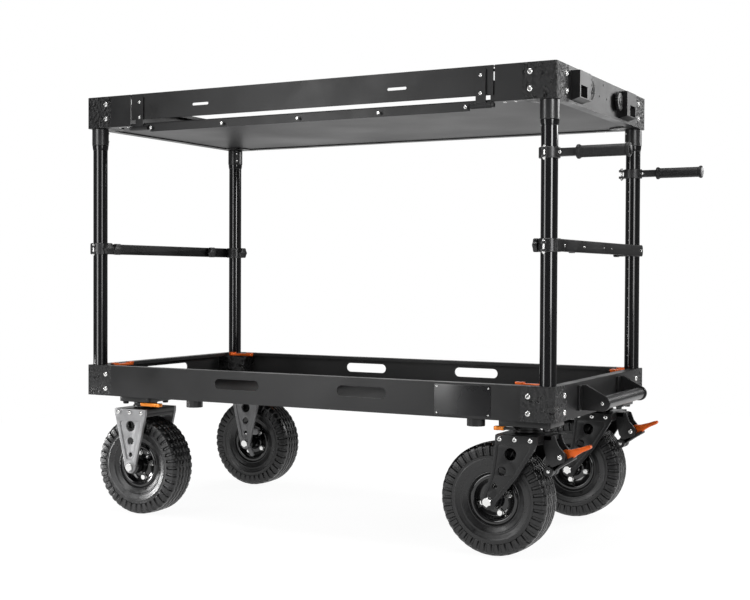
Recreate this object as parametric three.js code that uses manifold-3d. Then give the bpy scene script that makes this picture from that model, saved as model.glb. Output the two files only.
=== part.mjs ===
// A two-deck camera cart on four pneumatic wheels, in millimetres, +Z up.
// The origin is on the floor under the middle of the whole object, +X points to the push handles.
import * as THREE from "three";
import { mergeVertices } from "three/addons/utils/BufferGeometryUtils.js";
import Module from "manifold-3d";

const wasm = await Module();
wasm.setup();

// Frames
const frameLength = 1320;
const frameWidth = 680;
const lowerBottom = 316;
const lowerHeight = 80;
const upperBottom = 1027;
const upperHeight = 82;
const sheet = 3;
const railDepth = 24;
const railLip = 9;
const gap = 0.3;
const overrun = 5;

// Corner castings
const castingArm = 80;
const castingWall = 24;
const castingCore = 50;
const castingRound = 5;
const castingChamfer = 26;

// Posts and their collars
const postDiameter = 38;
const postInset = 24;
const socketDepth = 58;
const collarDiameter = 44;
const collarHeight = 43;
const collarTaper = 14;

// Handhold slots of the lower rails
const slotLength = 133;
const slotHeight = 26;
const slotRise = 47;
const slotPlace = 178;
const endSlotLength = 200;

// Feet under the long lower rails
const footDiameter = 42;
const footDrop = 18;
const footFromLeft = 336;
const footFromRight = 196;

// What is bolted to the handle end sits a little to the front of the middle
const endOffset = -17;

// Push bar
const pushTubeDiameter = 30;
const pushReach = 52.5;
const pushLength = 302;
const pushHeight = 348;
const pushPlate = 8;
const pushRound = 18;
const pushFlangeWidth = 44;
const pushFlangeThickness = 5;
const pushFlangeTop = 389;
const pushFlangeBottom = 330;

// Post latches
const latchPlaceX = 42;
const latchPlaceY = 62;
const latchLength = 67;
const latchHubRadius = 11;
const latchTipRadius = 7;
const latchThickness = 10;
const latchProud = 3;
const latchPinDiameter = 9;
const latchPinLength = 14;

// Casters
const kingpinFromLeft = 140;
const kingpinFromRight = 92;
const kingpinFromSide = 71;
const basePlateSize = 100;
const basePlateThickness = 15;
const basePlateRound = 8;
const basePlateOutward = 24;
const bossDiameter = 66;
const kingpinDiameter = 24;
const kingpinLength = 20;
const crownTop = 284;
const crownThickness = 12;
const crownHalfLength = 51;
const forkInside = 58;
const forkPlate = 8;
const forkShoulder = 14;
const forkSkirt = 42;
const forkSkirtInset = 14;
const forkLobeRadius = 15;
const forkRelief = 1.5;
const forkReliefTop = 30;
const forkReliefEdge = 10;
const forkReliefEnd = 20;
const forkHoleDiameters = [28, 20, 12];
const forkHoleShares = [0.71, 0.46, 0.23];
const trail = 67;
const hookReach = 46;
const hookHeight = 38;
const hookRadius = 8;
const lowHookReach = 26;
const lowHookDrop = 24;

// Release tabs
const tabWidth = 16;
const tabThickness = 10;
const tabOffset = 43;
const tabStart = 6;
const tabReachLeft = 84;
const tabReachRight = 60;
const tabKnobRadius = 9;

// Wheels
const wheelDiameter = 262;
const tyreWidth = 84;
const treadWidth = 62;
const treadShoulder = 9;
const treadGroove = 4;
const treadGrooveWidth = 12;
const tyreToe = 5;
const beadRadius = 51;
const beadWidth = 54;
const rimFlangeRadius = 59;
const rimFlange = 3;
const rimWall = 4;
const rimDiscThickness = 6;
const rimDiscOffset = 8;
const hubRadius = 20;
const axleDiameter = 15;
const axleHeadDiameter = 23;
const axleHeadLength = 9;

// Brakes
const brakePivotX = 88;
const brakePivotHeight = 236;
const brakeRollerX = 60;
const brakeRollerHeight = 202;
const brakeRollerDiameter = 24;
const brakeRollerLength = 46;
const brakePinDiameter = 9;
const brakeCheek = 5;
const brakeInside = 18;
const brakeCheekRadius = 12;
const brakeArmReach = 71;
const brakeArmThickness = 12;
const brakeLeverLength = 72;
const brakeLeverTilt = 22;
const brakeLeverHub = 13;
const brakeLeverTip = 6;
const brakeLeverWidth = 15;
const brakeLinkWidth = 30;
const brakeWing = 28;
const brakeWingRadius = 5;

// The drop gate of the front side and its hinges
const stubLength = 65.5;
const gateGap = 3.5;
const gateRise = 15;
const gateFlange = 12;
const strapFromEnd = 29;
const strapWidth = 24;
const strapThickness = 4;
const strapDrop = 9;
const strapSlotLength = 51;
const strapSlotHeight = 7;
const strapSlotFromEnd = 231;
const strapSlotOffset = -11;
const strapSlotRise = 45;
const barrelDiameter = 13;
const barrelDrop = 7;
const hingePinDiameter = 6;
const hingeKnuckle = 13;
const hingeHead = 7;
const hingeHeadDiameter = 11;
const stripFromEnd = 59;
const stripDrop = 17.5;
const stripInset = 4;

// Receivers and their hand wheels
const receiverOffset = -28;
const receiverPlace = 179;
const receiverWidth = 76;
const receiverReach = 20.5;
const receiverTop = 73;
const receiverBottom = 12;
const receiverRootBottom = 6;
const pocketWidth = 44;
const pocketHeight = 26.5;
const pocketWall = 7;
const pocketRise = 14;
const handWheelDiameter = 46;
const handWheelClear = 7;
const handWheelThickness = 10;
const handWheelStandoff = 4;
const handWheelRise = 43;
const handWheelStem = 10;
const handWheelStemLength = 16;
const endHoleDiameter = 6;
const endHolePitch = 28;
const endHoleRises = [40, 70, 40];

// Push handles
const handleHeight = 910;
const handleReach = 185;
const handleRingDiameter = 48;
const handleRingHeight = 24;
const handleArmWidth = 16;
const handleArmHeight = 18;
const handleGripLength = 118;
const handleGripDiameter = 26;
const handleFlangeDiameter = 32;
const handleFlangeLength = 6;
const handleFlangeRise = 4;
const handlePlugDiameter = 15;
const handlePlugLength = 3;
const handleLugLength = 14;
const handleLugWidth = 18;
const handleLugPlate = 6;
const handlePinDiameter = 8;

// Crossbars
const crossbarHeight = 707;
const crossbarTall = 28;
const crossbarThickness = 8;
const crossbarRingHeight = 34;
const crossbarKnobDiameter = 34;
const crossbarKnobLength = 12;
const crossbarKnobStem = 12;
const crossbarKnobRidge = 3;
const crossbarBossDiameter = 20;

// Facet counts
const tyreSides = 28;
const rimSides = 16;
const postSides = 14;
const roundSides = 12;
const holeSides = 8;
const pinSides = 6;
const arcSides = 4;
const cornerSides = 1;
const knobLobes = 5;

// Sizes that follow from the ones above
const halfLength = frameLength / 2;
const halfWidth = frameWidth / 2;
const railLengthX = frameLength - 2 * castingArm;
const railLengthY = frameWidth - 2 * castingArm;
const postX = halfLength - postInset;
const postY = halfWidth - postInset;
const lowerTop = lowerBottom + lowerHeight;
const wheelRadius = wheelDiameter / 2;
const axleHeight = wheelRadius * Math.cos(Math.PI / tyreSides);
const kingpinY = halfWidth - kingpinFromSide;
const forkOutside = forkInside + forkPlate;
const baseBottom = lowerBottom - basePlateThickness;
const barrelHeight = upperBottom - barrelDrop;
const knuckleReach = strapWidth / 2 + gap + hingeKnuckle;
const gateHalfLength = halfLength - castingArm - stubLength - gateGap;
const strapPlace = gateHalfLength - strapFromEnd;
const strapSlotPlace = gateHalfLength - strapSlotFromEnd;
const stripHalfLength = gateHalfLength - stripFromEnd;
const partCentreX = (postX + handleReach - halfLength) / 2;
const partCentreY = (kingpinY + forkOutside + axleHeadLength - halfWidth - barrelDiameter / 2) / 2;

// Colours as the real surfaces have them
const black = { color: 0x17181a, roughness: 0.45, metalness: 0.6 };
const textured = { color: 0x1c1d1f, roughness: 0.8, metalness: 0.3 };
const rubber = { color: 0x1d1e20, roughness: 0.85, metalness: 0 };
const gloss = { color: 0x0d0e10, roughness: 0.25, metalness: 0.7 };
const orange = { color: 0xe0561a, roughness: 0.4, metalness: 0.3 };
const plateGrey = { color: 0x55585c, roughness: 0.55, metalness: 0.7 };

// A closed geometry as a solid, and back
function solid(geometry) {
  const bare = geometry.clone();
  bare.deleteAttribute("normal");
  bare.deleteAttribute("uv");
  const merged = mergeVertices(bare, 1e-4);
  return new wasm.Manifold(
    new wasm.Mesh({
      numProp: 3,
      vertProperties: merged.attributes.position.array,
      triVerts: new Uint32Array(merged.index.array),
    }),
  );
}

function geometryOf(manifold) {
  const mesh = manifold.getMesh();
  const positions = new Float32Array(mesh.numVert * 3);
  for (let i = 0; i < mesh.numVert; i++) {
    positions.set(mesh.vertProperties.subarray(i * mesh.numProp, i * mesh.numProp + 3), i * 3);
  }
  const geometry = new THREE.BufferGeometry();
  geometry.setAttribute("position", new THREE.BufferAttribute(positions, 3));
  geometry.setIndex(new THREE.BufferAttribute(new Uint32Array(mesh.triVerts), 1));
  const flat = geometry.toNonIndexed();
  flat.computeVertexNormals();
  return flat;
}

function join(...geometries) {
  return geometryOf(geometries.map(solid).reduce((sum, piece) => sum.add(piece)));
}

function cut(geometry, ...tools) {
  return geometryOf(tools.map(solid).reduce((rest, tool) => rest.subtract(tool), solid(geometry)));
}

// A box between two corners
function block(x0, x1, y0, y1, z0, z1) {
  const geometry = new THREE.BoxGeometry(x1 - x0, y1 - y0, z1 - z0);
  return geometry.translate((x0 + x1) / 2, (y0 + y1) / 2, (z0 + z1) / 2);
}

// A round bar about a line along one axis, from one place to another
function bar(axis, diameter, from, to, sides = roundSides) {
  const radius = diameter / 2;
  const geometry = new THREE.CylinderGeometry(radius, radius, to - from, sides);
  geometry.translate(0, (from + to) / 2, 0);
  if (axis === "x") geometry.rotateZ(-Math.PI / 2);
  if (axis === "z") geometry.rotateX(Math.PI / 2);
  return geometry;
}

// The width of a hole with flat sides in which a bar of that many corners can turn
function runningBore(diameter, sides) {
  return (diameter + 2 * gap) / Math.cos(Math.PI / sides);
}

// A turned shape from [radius, place] pairs, about one axis
function turned(axis, profile, sides, phase = 0) {
  const closed = profile[0][0] > 0;
  const loop = closed ? [...profile, profile[0]] : [...profile];
  const area = loop.reduce((sum, [r, p], i) => {
    const [nextR, nextP] = loop[(i + 1) % loop.length];
    return sum + r * nextP - nextR * p;
  }, 0);
  if (area < 0) loop.reverse();
  const points = loop.map(([r, p]) => new THREE.Vector2(r, p));
  const geometry = new THREE.LatheGeometry(points, sides);
  geometry.rotateY(phase);
  if (axis === "x") geometry.rotateZ(-Math.PI / 2);
  if (axis === "z") geometry.rotateX(Math.PI / 2);
  return geometry;
}

// A flat outline drawn in two axes and given thickness from one place to another along the third
function prism(plane, shape, from, to, steps = arcSides) {
  const geometry = new THREE.ExtrudeGeometry(shape, {
    depth: to - from,
    bevelEnabled: false,
    curveSegments: steps,
  });
  if (plane === "xy") return geometry.translate(0, 0, from);
  if (plane === "yz") {
    geometry.rotateX(Math.PI / 2).rotateZ(Math.PI / 2);
    return geometry.translate(from, 0, 0);
  }
  geometry.rotateX(Math.PI / 2);
  return geometry.translate(0, to, 0);
}

function outline(points) {
  return new THREE.Shape(points.map(([a, b]) => new THREE.Vector2(a, b)));
}

// A slot with round ends, along the first axis of its plane
function slotShape(length, height, centreA, centreB) {
  const radius = height / 2;
  const reach = length / 2 - radius;
  const shape = new THREE.Shape();
  shape.absarc(centreA + reach, centreB, radius, -Math.PI / 2, Math.PI / 2, false);
  shape.absarc(centreA - reach, centreB, radius, Math.PI / 2, (3 * Math.PI) / 2, false);
  return shape;
}

// The outline round two circles, joined by their common tangents
function linkShape(a0, b0, r0, a1, b1, r1) {
  const turn = Math.atan2(b1 - b0, a1 - a0);
  const spread = Math.acos((r0 - r1) / Math.hypot(a1 - a0, b1 - b0));
  const shape = new THREE.Shape();
  shape.absarc(a1, b1, r1, turn - spread, turn + spread, false);
  shape.absarc(a0, b0, r0, turn + spread, turn - spread + 2 * Math.PI, false);
  return shape;
}

function mirroredY(geometry) {
  const positions = geometry.attributes.position.array.slice();
  for (let i = 0; i < positions.length; i += 9) {
    for (let k = 0; k < 9; k += 3) positions[i + k + 1] *= -1;
    for (let k = 0; k < 3; k++) {
      const kept = positions[i + 3 + k];
      positions[i + 3 + k] = positions[i + 6 + k];
      positions[i + 6 + k] = kept;
    }
  }
  const geometryOut = new THREE.BufferGeometry();
  geometryOut.setAttribute("position", new THREE.BufferAttribute(positions, 3));
  geometryOut.computeVertexNormals();
  return geometryOut;
}

function part(parent, name, geometry, finish, x = 0, y = 0, z = 0) {
  const mesh = new THREE.Mesh(geometry, new THREE.MeshStandardMaterial(finish));
  mesh.name = name;
  mesh.position.set(x, y, z);
  parent.add(mesh);
  return mesh;
}

function subgroup(parent, x, y, z) {
  const child = new THREE.Group();
  child.position.set(x, y, z);
  parent.add(child);
  return child;
}

const ends = [
  ["left", -1],
  ["right", 1],
];
const sides = [
  ["front", -1],
  ["back", 1],
];

// Corner castings, drawn for the front left corner with the outer edge at the origin
function castingShape() {
  const shape = new THREE.Shape();
  shape.moveTo(castingArm, 0);
  shape.lineTo(castingArm, castingWall);
  shape.lineTo(castingCore, castingWall);
  shape.lineTo(castingCore, castingCore);
  shape.lineTo(castingWall, castingCore);
  shape.lineTo(castingWall, castingArm);
  shape.lineTo(0, castingArm);
  shape.lineTo(0, castingRound);
  shape.absarc(castingRound, castingRound, castingRound, Math.PI, (3 * Math.PI) / 2, false);
  return shape;
}

function castingSeat(top) {
  const start = castingWall / 2;
  const corners = [
    [start, start],
    [castingArm, start],
    [castingArm, castingArm - castingChamfer],
    [castingArm - castingChamfer, castingArm],
    [start, castingArm],
  ];
  return prism("xy", outline(corners), 0, top);
}

function lowerCasting() {
  const seatTop = lowerHeight + latchProud - latchThickness - gap;
  const body = join(prism("xy", castingShape(), 0, lowerHeight, cornerSides), castingSeat(seatTop));
  const socketFloor = lowerHeight - socketDepth;
  const socket = bar("z", postDiameter + 2 * gap, socketFloor, lowerHeight + overrun, postSides);
  const latchBore = runningBore(latchPinDiameter, pinSides);
  const latchHole = bar("z", latchBore, seatTop - latchPinLength - gap, seatTop + overrun, pinSides);
  socket.translate(postInset, postInset, 0);
  latchHole.translate(latchPlaceX, latchPlaceY, 0);
  return cut(body, socket, latchHole);
}

function upperCasting() {
  const body = join(prism("xy", castingShape(), 0, upperHeight, cornerSides), castingSeat(2 * sheet));
  const socket = bar("z", postDiameter + 2 * gap, -overrun, socketDepth, postSides);
  socket.translate(postInset, postInset, 0);
  return cut(body, socket);
}

// A rail section: outer wall at zero, flanges and lip to the inside
function railSection(height) {
  return outline([
    [0, 0],
    [railDepth, 0],
    [railDepth, sheet],
    [sheet, sheet],
    [sheet, height - sheet],
    [railDepth - sheet, height - sheet],
    [railDepth - sheet, height - railLip],
    [railDepth, height - railLip],
    [railDepth, height],
    [0, height],
  ]);
}

// A rail along X with its outer wall at the front, standing on z = 0
function longRail(height, from, to) {
  return prism("yz", railSection(height), from, to);
}

// A rail along Y with its outer wall at +X of its own frame, standing on z = 0
function endRail(height) {
  const rail = longRail(height, -railLengthY / 2, railLengthY / 2);
  return rail.rotateZ(Math.PI / 2);
}

function lowerLongRail() {
  const feet = [footFromLeft - halfLength, halfLength - footFromRight].map((x) => {
    const foot = bar("z", footDiameter, -footDrop, sheet / 2);
    return foot.translate(x, footDiameter / 2 + sheet, 0);
  });
  const slots = [-slotPlace, slotPlace].map((x) =>
    prism("xz", slotShape(slotLength, slotHeight, x, slotRise), -overrun, sheet + overrun),
  );
  const rail = longRail(lowerHeight, -railLengthX / 2, railLengthX / 2);
  return cut(join(rail, ...feet), ...slots);
}

function slottedEndRail() {
  const slot = slotShape(endSlotLength, slotHeight, 0, slotRise);
  return cut(endRail(lowerHeight), prism("yz", slot, -sheet - overrun, overrun));
}

// A deck plate that lies on the rail flanges, notched round the four castings
function deckPlate(frontInset) {
  const reachX = halfLength - sheet - gap;
  const reachFront = halfWidth - frontInset - gap;
  const reachBack = halfWidth - sheet - gap;
  const notchX = halfLength - castingArm - gap;
  const notchY = halfWidth - castingArm - gap;
  const corners = [
    [notchX, -reachFront],
    [notchX, -notchY],
    [reachX, -notchY],
    [reachX, notchY],
    [notchX, notchY],
    [notchX, reachBack],
    [-notchX, reachBack],
    [-notchX, notchY],
    [-reachX, notchY],
    [-reachX, -notchY],
    [-notchX, -notchY],
    [-notchX, -reachFront],
  ];
  return prism("xy", outline(corners), 0, sheet);
}

// The push bar, in the plane of the rail face at x = 0 and about y = 0
function pushBar() {
  const half = pushLength / 2;
  const brackets = [-1, 1].map((side) => {
    const plate = new THREE.Shape();
    plate.moveTo(0, pushFlangeBottom);
    plate.lineTo(pushReach, pushHeight - pushRound);
    plate.absarc(pushReach, pushHeight, pushRound, -Math.PI / 2, Math.PI / 3, false);
    plate.lineTo(pushFlangeThickness, pushFlangeTop);
    plate.lineTo(0, pushFlangeTop);
    const outer = side * half;
    const inner = outer - side * pushPlate;
    const body = prism("xz", plate, Math.min(outer, inner), Math.max(outer, inner));
    const middle = side * (half - pushPlate / 2);
    const flange = block(
      0,
      pushFlangeThickness,
      middle - pushFlangeWidth / 2,
      middle + pushFlangeWidth / 2,
      pushFlangeBottom,
      pushFlangeTop,
    );
    return join(body, flange);
  });
  const tube = bar("y", pushTubeDiameter, -half + pushPlate / 2, half - pushPlate / 2);
  tube.translate(pushReach, 0, pushHeight);
  return join(tube, ...brackets);
}

// A post latch about its pivot, seated on z = 0, pointing along +X
function postLatch() {
  const lever = prism(
    "xy",
    linkShape(0, 0, latchHubRadius, latchLength, 0, latchTipRadius),
    0,
    latchThickness,
  );
  const waist = block(
    latchHubRadius * 2,
    latchLength - latchTipRadius * 2,
    -latchHubRadius - overrun,
    latchHubRadius + overrun,
    latchThickness - latchProud,
    latchThickness + overrun,
  );
  const pin = bar("z", latchPinDiameter, -latchPinLength, latchProud, pinSides);
  return join(cut(lever, waist), pin);
}

// Casters, about the kingpin, with z = 0 on the floor
function casterBase(bossEnd, outward) {
  const half = basePlateSize / 2;
  const shape = new THREE.Shape();
  const turns = [
    [1, -1, -Math.PI / 2],
    [1, 1, 0],
    [-1, 1, Math.PI / 2],
    [-1, -1, Math.PI],
  ];
  turns.forEach(([sx, sy, from]) => {
    const reach = half - basePlateRound;
    const stretch = sx > 0 ? outward : 0;
    shape.absarc(sx * reach + stretch, sy * reach, basePlateRound, from, from + Math.PI / 2, false);
  });
  const plate = prism("xy", shape, baseBottom, lowerBottom, cornerSides);
  const boss = bar("z", bossDiameter, bossEnd, baseBottom + basePlateThickness / 2, roundSides);
  return join(plate, boss);
}

function swivelBase() {
  const bore = runningBore(kingpinDiameter, roundSides);
  const hole = bar("z", bore, crownTop, crownTop + kingpinLength + gap);
  return cut(casterBase(crownTop + gap, basePlateOutward), hole);
}

// The side plate of a fork in the xz plane, from its crown down to the axle
function forkShape(axleX) {
  const top = crownTop;
  const skirt = axleX === 0 ? forkShoulder : forkSkirt;
  const inset = axleX === 0 ? 0 : forkSkirtInset;
  const shape = new THREE.Shape();
  shape.moveTo(-crownHalfLength, top);
  shape.lineTo(-crownHalfLength + inset / 4, top - skirt);
  shape.absarc(axleX, axleHeight, forkLobeRadius, Math.PI, 2 * Math.PI - Math.PI / 8, false);
  shape.lineTo(crownHalfLength - inset, top - skirt);
  shape.lineTo(crownHalfLength, top - forkShoulder);
  shape.lineTo(crownHalfLength, top);
  return shape;
}

function forkReliefShape(axleX) {
  const top = crownTop - forkReliefTop;
  const low = axleHeight + forkReliefEnd;
  const topMiddle = axleX / 8;
  const topHalf = crownHalfLength - forkReliefEdge - forkReliefTop / 4;
  const lowMiddle = axleX * (1 - forkReliefEnd / (crownTop - axleHeight));
  const lowHalf = forkLobeRadius - forkReliefEdge / 2;
  return outline([
    [topMiddle - topHalf, top],
    [lowMiddle - lowHalf, low],
    [lowMiddle + lowHalf, low],
    [topMiddle + topHalf, top],
  ]);
}

function forkHoles(axleX) {
  return forkHoleDiameters.map((diameter, i) => {
    const share = forkHoleShares[i];
    const hole = bar("y", diameter, -forkOutside - overrun, forkOutside + overrun, holeSides);
    const centreX = axleX * (1 - share) - (axleX / 8) * share;
    return hole.translate(centreX, 0, axleHeight + share * (crownTop - axleHeight));
  });
}

function forkBody(axleX) {
  const crown = block(
    -crownHalfLength,
    crownHalfLength,
    -forkInside - forkPlate / 2,
    forkInside + forkPlate / 2,
    crownTop - crownThickness,
    crownTop,
  );
  const shape = forkShape(axleX);
  const front = prism("xz", shape, -forkOutside, -forkInside);
  const back = prism("xz", shape, forkInside, forkOutside);
  const relief = forkReliefShape(axleX);
  const reliefs = [
    prism("xz", relief, -forkOutside - overrun, -forkOutside + forkRelief),
    prism("xz", relief, forkOutside - forkRelief, forkOutside + overrun),
  ];
  const plates = cut(join(crown, front, back), ...reliefs, ...forkHoles(axleX));
  return join(plates, axle().translate(axleX, 0, axleHeight));
}

// The rigid caster: base, boss, crown and plates in one, with two hooks on the inner plate
function rigidFork() {
  const hookZ = axleHeight + hookHeight;
  const lowHookZ = axleHeight - lowHookDrop;
  const hooks = [
    linkShape(0, hookZ, hookRadius, hookReach - hookRadius, hookZ, hookRadius),
    linkShape(0, axleHeight, hookRadius, lowHookReach - hookRadius, lowHookZ, hookRadius),
  ].map((shape) => prism("xz", shape, forkInside, forkOutside));
  const base = casterBase(crownTop - crownThickness / 2, 0);
  return cut(join(base, forkBody(0), ...hooks), ...forkHoles(0));
}

// The swivel fork, with its kingpin and the bracket that carries the brake
function swivelFork() {
  const pin = bar("z", kingpinDiameter, crownTop - crownThickness / 2, crownTop + kingpinLength);
  const outer = brakeInside + brakeCheek;
  const arm = block(
    crownHalfLength - overrun,
    brakeArmReach,
    -outer,
    outer,
    crownTop - brakeArmThickness,
    crownTop,
  );
  const cheek = linkShape(
    brakeArmReach - brakeCheekRadius,
    crownTop - brakeCheekRadius,
    brakeCheekRadius,
    brakePivotX,
    brakePivotHeight,
    brakeCheekRadius,
  );
  const cheeks = [prism("xz", cheek, -outer, -brakeInside), prism("xz", cheek, brakeInside, outer)];
  const pivotBore = runningBore(brakePinDiameter, pinSides);
  const pivotHole = bar("y", pivotBore, -outer - overrun, outer + overrun, pinSides);
  pivotHole.translate(brakePivotX, 0, brakePivotHeight);
  return cut(join(forkBody(-trail), pin, arm, ...cheeks), pivotHole);
}

// The brake lever about its pivot: handle, link plates and the roller that bites the tread
function brakeLever() {
  const tilt = (brakeLeverTilt * Math.PI) / 180;
  const tipX = brakeLeverLength * Math.cos(tilt);
  const tipZ = brakeLeverLength * Math.sin(tilt);
  const rollerX = brakeRollerX - brakePivotX;
  const rollerZ = brakeRollerHeight - brakePivotHeight;
  const inside = brakeInside - gap;
  const handle = prism(
    "xz",
    linkShape(0, 0, brakeLeverHub, tipX, tipZ, brakeLeverTip),
    -brakeLeverWidth / 2,
    brakeLeverWidth / 2,
  );
  const link = prism(
    "xz",
    linkShape(0, 0, brakeLeverHub, rollerX, rollerZ, brakeLeverTip),
    -brakeLinkWidth / 2,
    brakeLinkWidth / 2,
  );
  const wing = prism(
    "xz",
    linkShape(rollerX / 2, rollerZ / 2, brakeLeverTip, brakeWing, 0, brakeWingRadius),
    -brakeLinkWidth / 2,
    brakeLinkWidth / 2,
  );
  const roller = bar("y", brakeRollerDiameter, -brakeRollerLength / 2, brakeRollerLength / 2);
  roller.translate(rollerX, 0, rollerZ);
  const hub = bar("y", brakeLeverHub * 2, -inside, inside);
  const pinReach = brakeInside + brakeCheek;
  const pin = bar("y", brakePinDiameter, -pinReach, pinReach, pinSides);
  return join(handle, link, wing, roller, hub, pin);
}

// A release tab under the base plate, pointing along +X
function releaseTab(reach) {
  const half = tabWidth / 2;
  const tongue = outline([
    [tabStart, -half],
    [reach - tabKnobRadius, -half],
    [reach - tabKnobRadius, half],
    [tabStart, half],
  ]);
  const top = baseBottom - gap;
  const blade = prism("xy", tongue, top - tabThickness, top);
  const knob = bar("z", tabKnobRadius * 2, top - tabThickness, top, holeSides);
  return join(blade, knob.translate(reach - tabKnobRadius, 0, 0));
}

// Wheels about their axle line, which runs along Y
function tyre() {
  const half = tyreWidth / 2;
  const tread = treadWidth / 2;
  const bulge = (wheelRadius + beadRadius) / 2;
  const seat = (beadRadius + gap) / Math.cos(Math.PI / tyreSides);
  const halfProfile = [
    [seat, beadWidth / 2 - tyreToe],
    [bulge, half],
    [wheelRadius - treadShoulder, (half + tread) / 2],
    [wheelRadius, tread],
    [wheelRadius, treadGrooveWidth / 2],
    [wheelRadius - treadGroove, treadGrooveWidth / 4],
  ];
  const other = halfProfile.map(([r, y]) => [r, -y]).reverse();
  return turned("y", [...halfProfile, ...other], tyreSides, Math.PI / tyreSides);
}

function rim() {
  const lip = beadWidth / 2;
  const flange = lip + rimFlange;
  const barrelInside = beadRadius - rimWall;
  const discTop = rimDiscOffset + rimDiscThickness;
  const hubEnd = forkInside - 2 * gap;
  const bore = axleDiameter / 2 + gap;
  const profile = [
    [bore, -hubEnd],
    [hubRadius, -hubEnd],
    [hubRadius, -discTop],
    [barrelInside, -discTop],
    [barrelInside, -flange],
    [rimFlangeRadius, -flange],
    [beadRadius, -lip],
    [beadRadius, lip],
    [rimFlangeRadius, flange],
    [barrelInside, flange],
    [barrelInside, -rimDiscOffset],
    [hubRadius, -rimDiscOffset],
    [hubRadius, hubEnd],
    [bore, hubEnd],
  ];
  return turned("y", profile, rimSides);
}

function axle() {
  const reach = forkOutside + axleHeadLength;
  const shankEnd = forkOutside + axleHeadLength / 2;
  const shank = bar("y", axleDiameter, -shankEnd, shankEnd, pinSides);
  const hexSides = 6;
  const heads = [
    bar("y", axleHeadDiameter, -reach, -forkOutside, hexSides),
    bar("y", axleHeadDiameter, forkOutside, reach, hexSides),
  ];
  return join(shank, ...heads);
}

// The front upper sill: two rail stubs, the flange under the deck edge, the hinge strip and its knuckles
function upperSill() {
  const stubEnd = halfLength - castingArm;
  const stubStart = gateHalfLength + gateGap;
  const stubs = [longRail(upperHeight, stubStart, stubEnd), longRail(upperHeight, -stubEnd, -stubStart)];
  const flange = block(-stubEnd, stubEnd, stripInset, railDepth, 0, sheet);
  const stripBack = stripInset + sheet;
  const strip = block(-stripHalfLength, stripHalfLength, stripInset, stripBack, -stripDrop, sheet / 2);
  const hinges = [-1, 1].flatMap((side) => {
    const knuckles = [-1, 1].map((end) => {
      const near = side * strapPlace + end * (strapWidth / 2 + gap);
      const far = side * strapPlace + end * knuckleReach;
      const from = Math.min(near, far);
      const to = Math.max(near, far);
      const round = bar("x", barrelDiameter, from, to, holeSides).translate(0, 0, -barrelDrop);
      const web = block(from, to, 0, railDepth / 2, -barrelDrop, sheet / 2);
      return join(round, web);
    });
    const tip = strapPlace + knuckleReach;
    const pin = bar("x", hingePinDiameter, strapPlace - knuckleReach, tip, pinSides);
    const head = bar("x", hingeHeadDiameter, tip - gap, tip + hingeHead, holeSides);
    const bolt = join(pin, head).translate(0, 0, -barrelDrop);
    if (side < 0) bolt.rotateZ(Math.PI);
    return [...knuckles, bolt];
  });
  return join(...stubs, flange, strip, ...hinges);
}

// The drop gate about its hinge line: panel with strap slots, top flange, two straps with knuckles
function dropGate() {
  const base = barrelDrop;
  const top = base + upperHeight;
  const panel = outline([
    [0, base + gateRise],
    [sheet, base + gateRise],
    [sheet, top - sheet],
    [gateFlange, top - sheet],
    [gateFlange, top],
    [0, top],
  ]);
  const body = prism("yz", panel, -gateHalfLength, gateHalfLength);
  const slots = [-1, 1].map((side) => {
    const x = strapSlotOffset + side * strapSlotPlace;
    const slot = slotShape(strapSlotLength, strapSlotHeight, x, base + strapSlotRise);
    return prism("xz", slot, -overrun, sheet + overrun);
  });
  const straps = [-strapPlace, strapPlace].flatMap((x) => {
    const from = x - strapWidth / 2;
    const to = x + strapWidth / 2;
    return [
      block(from, to, -strapThickness, sheet / 2, base + gateRise, top - strapDrop),
      block(from, to, -strapThickness, 0, 0, base + gateRise + sheet),
      bar("x", barrelDiameter, from, to, holeSides),
    ];
  });
  const bores = [-strapPlace, strapPlace].map((x) => {
    const reach = strapWidth / 2 + overrun;
    return bar("x", runningBore(hingePinDiameter, pinSides), x - reach, x + reach, pinSides);
  });
  return cut(join(body, ...straps), ...slots, ...bores);
}

// The upper end rail at the handles, with its receivers and holes, face at x = 0
function receiverRail() {
  const rail = endRail(upperHeight);
  const profile = outline([
    [-sheet / 2, receiverRootBottom],
    [0, receiverRootBottom],
    [receiverReach, receiverBottom],
    [receiverReach, receiverTop],
    [-sheet / 2, receiverTop],
  ]);
  const blocks = [];
  const holes = [];
  [-1, 1].forEach((side) => {
    const middle = receiverOffset + side * receiverPlace;
    const half = receiverWidth / 2;
    blocks.push(prism("xz", profile, middle - half, middle + half));
    const pocketMiddle = middle + side * (half - pocketWall - pocketWidth / 2);
    holes.push(
      block(
        -sheet - overrun,
        receiverReach + overrun,
        pocketMiddle - pocketWidth / 2,
        pocketMiddle + pocketWidth / 2,
        pocketRise,
        pocketRise + pocketHeight,
      ),
    );
    const stemHole = bar("x", runningBore(handWheelStem, pinSides), -sheet - overrun, overrun, pinSides);
    holes.push(stemHole.translate(0, handWheelPlace(side), handWheelRise));
  });
  endHoleRises.forEach((rise, i) => {
    const hole = bar("x", endHoleDiameter, -sheet - overrun, overrun, pinSides);
    holes.push(hole.translate(0, endOffset + (i - 1) * endHolePitch, rise));
  });
  return cut(join(rail, ...blocks), ...holes);
}

function handWheelPlace(side) {
  const inner = receiverPlace - receiverWidth / 2 - handWheelDiameter / 2;
  return receiverOffset + side * (inner - handWheelClear);
}

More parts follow.
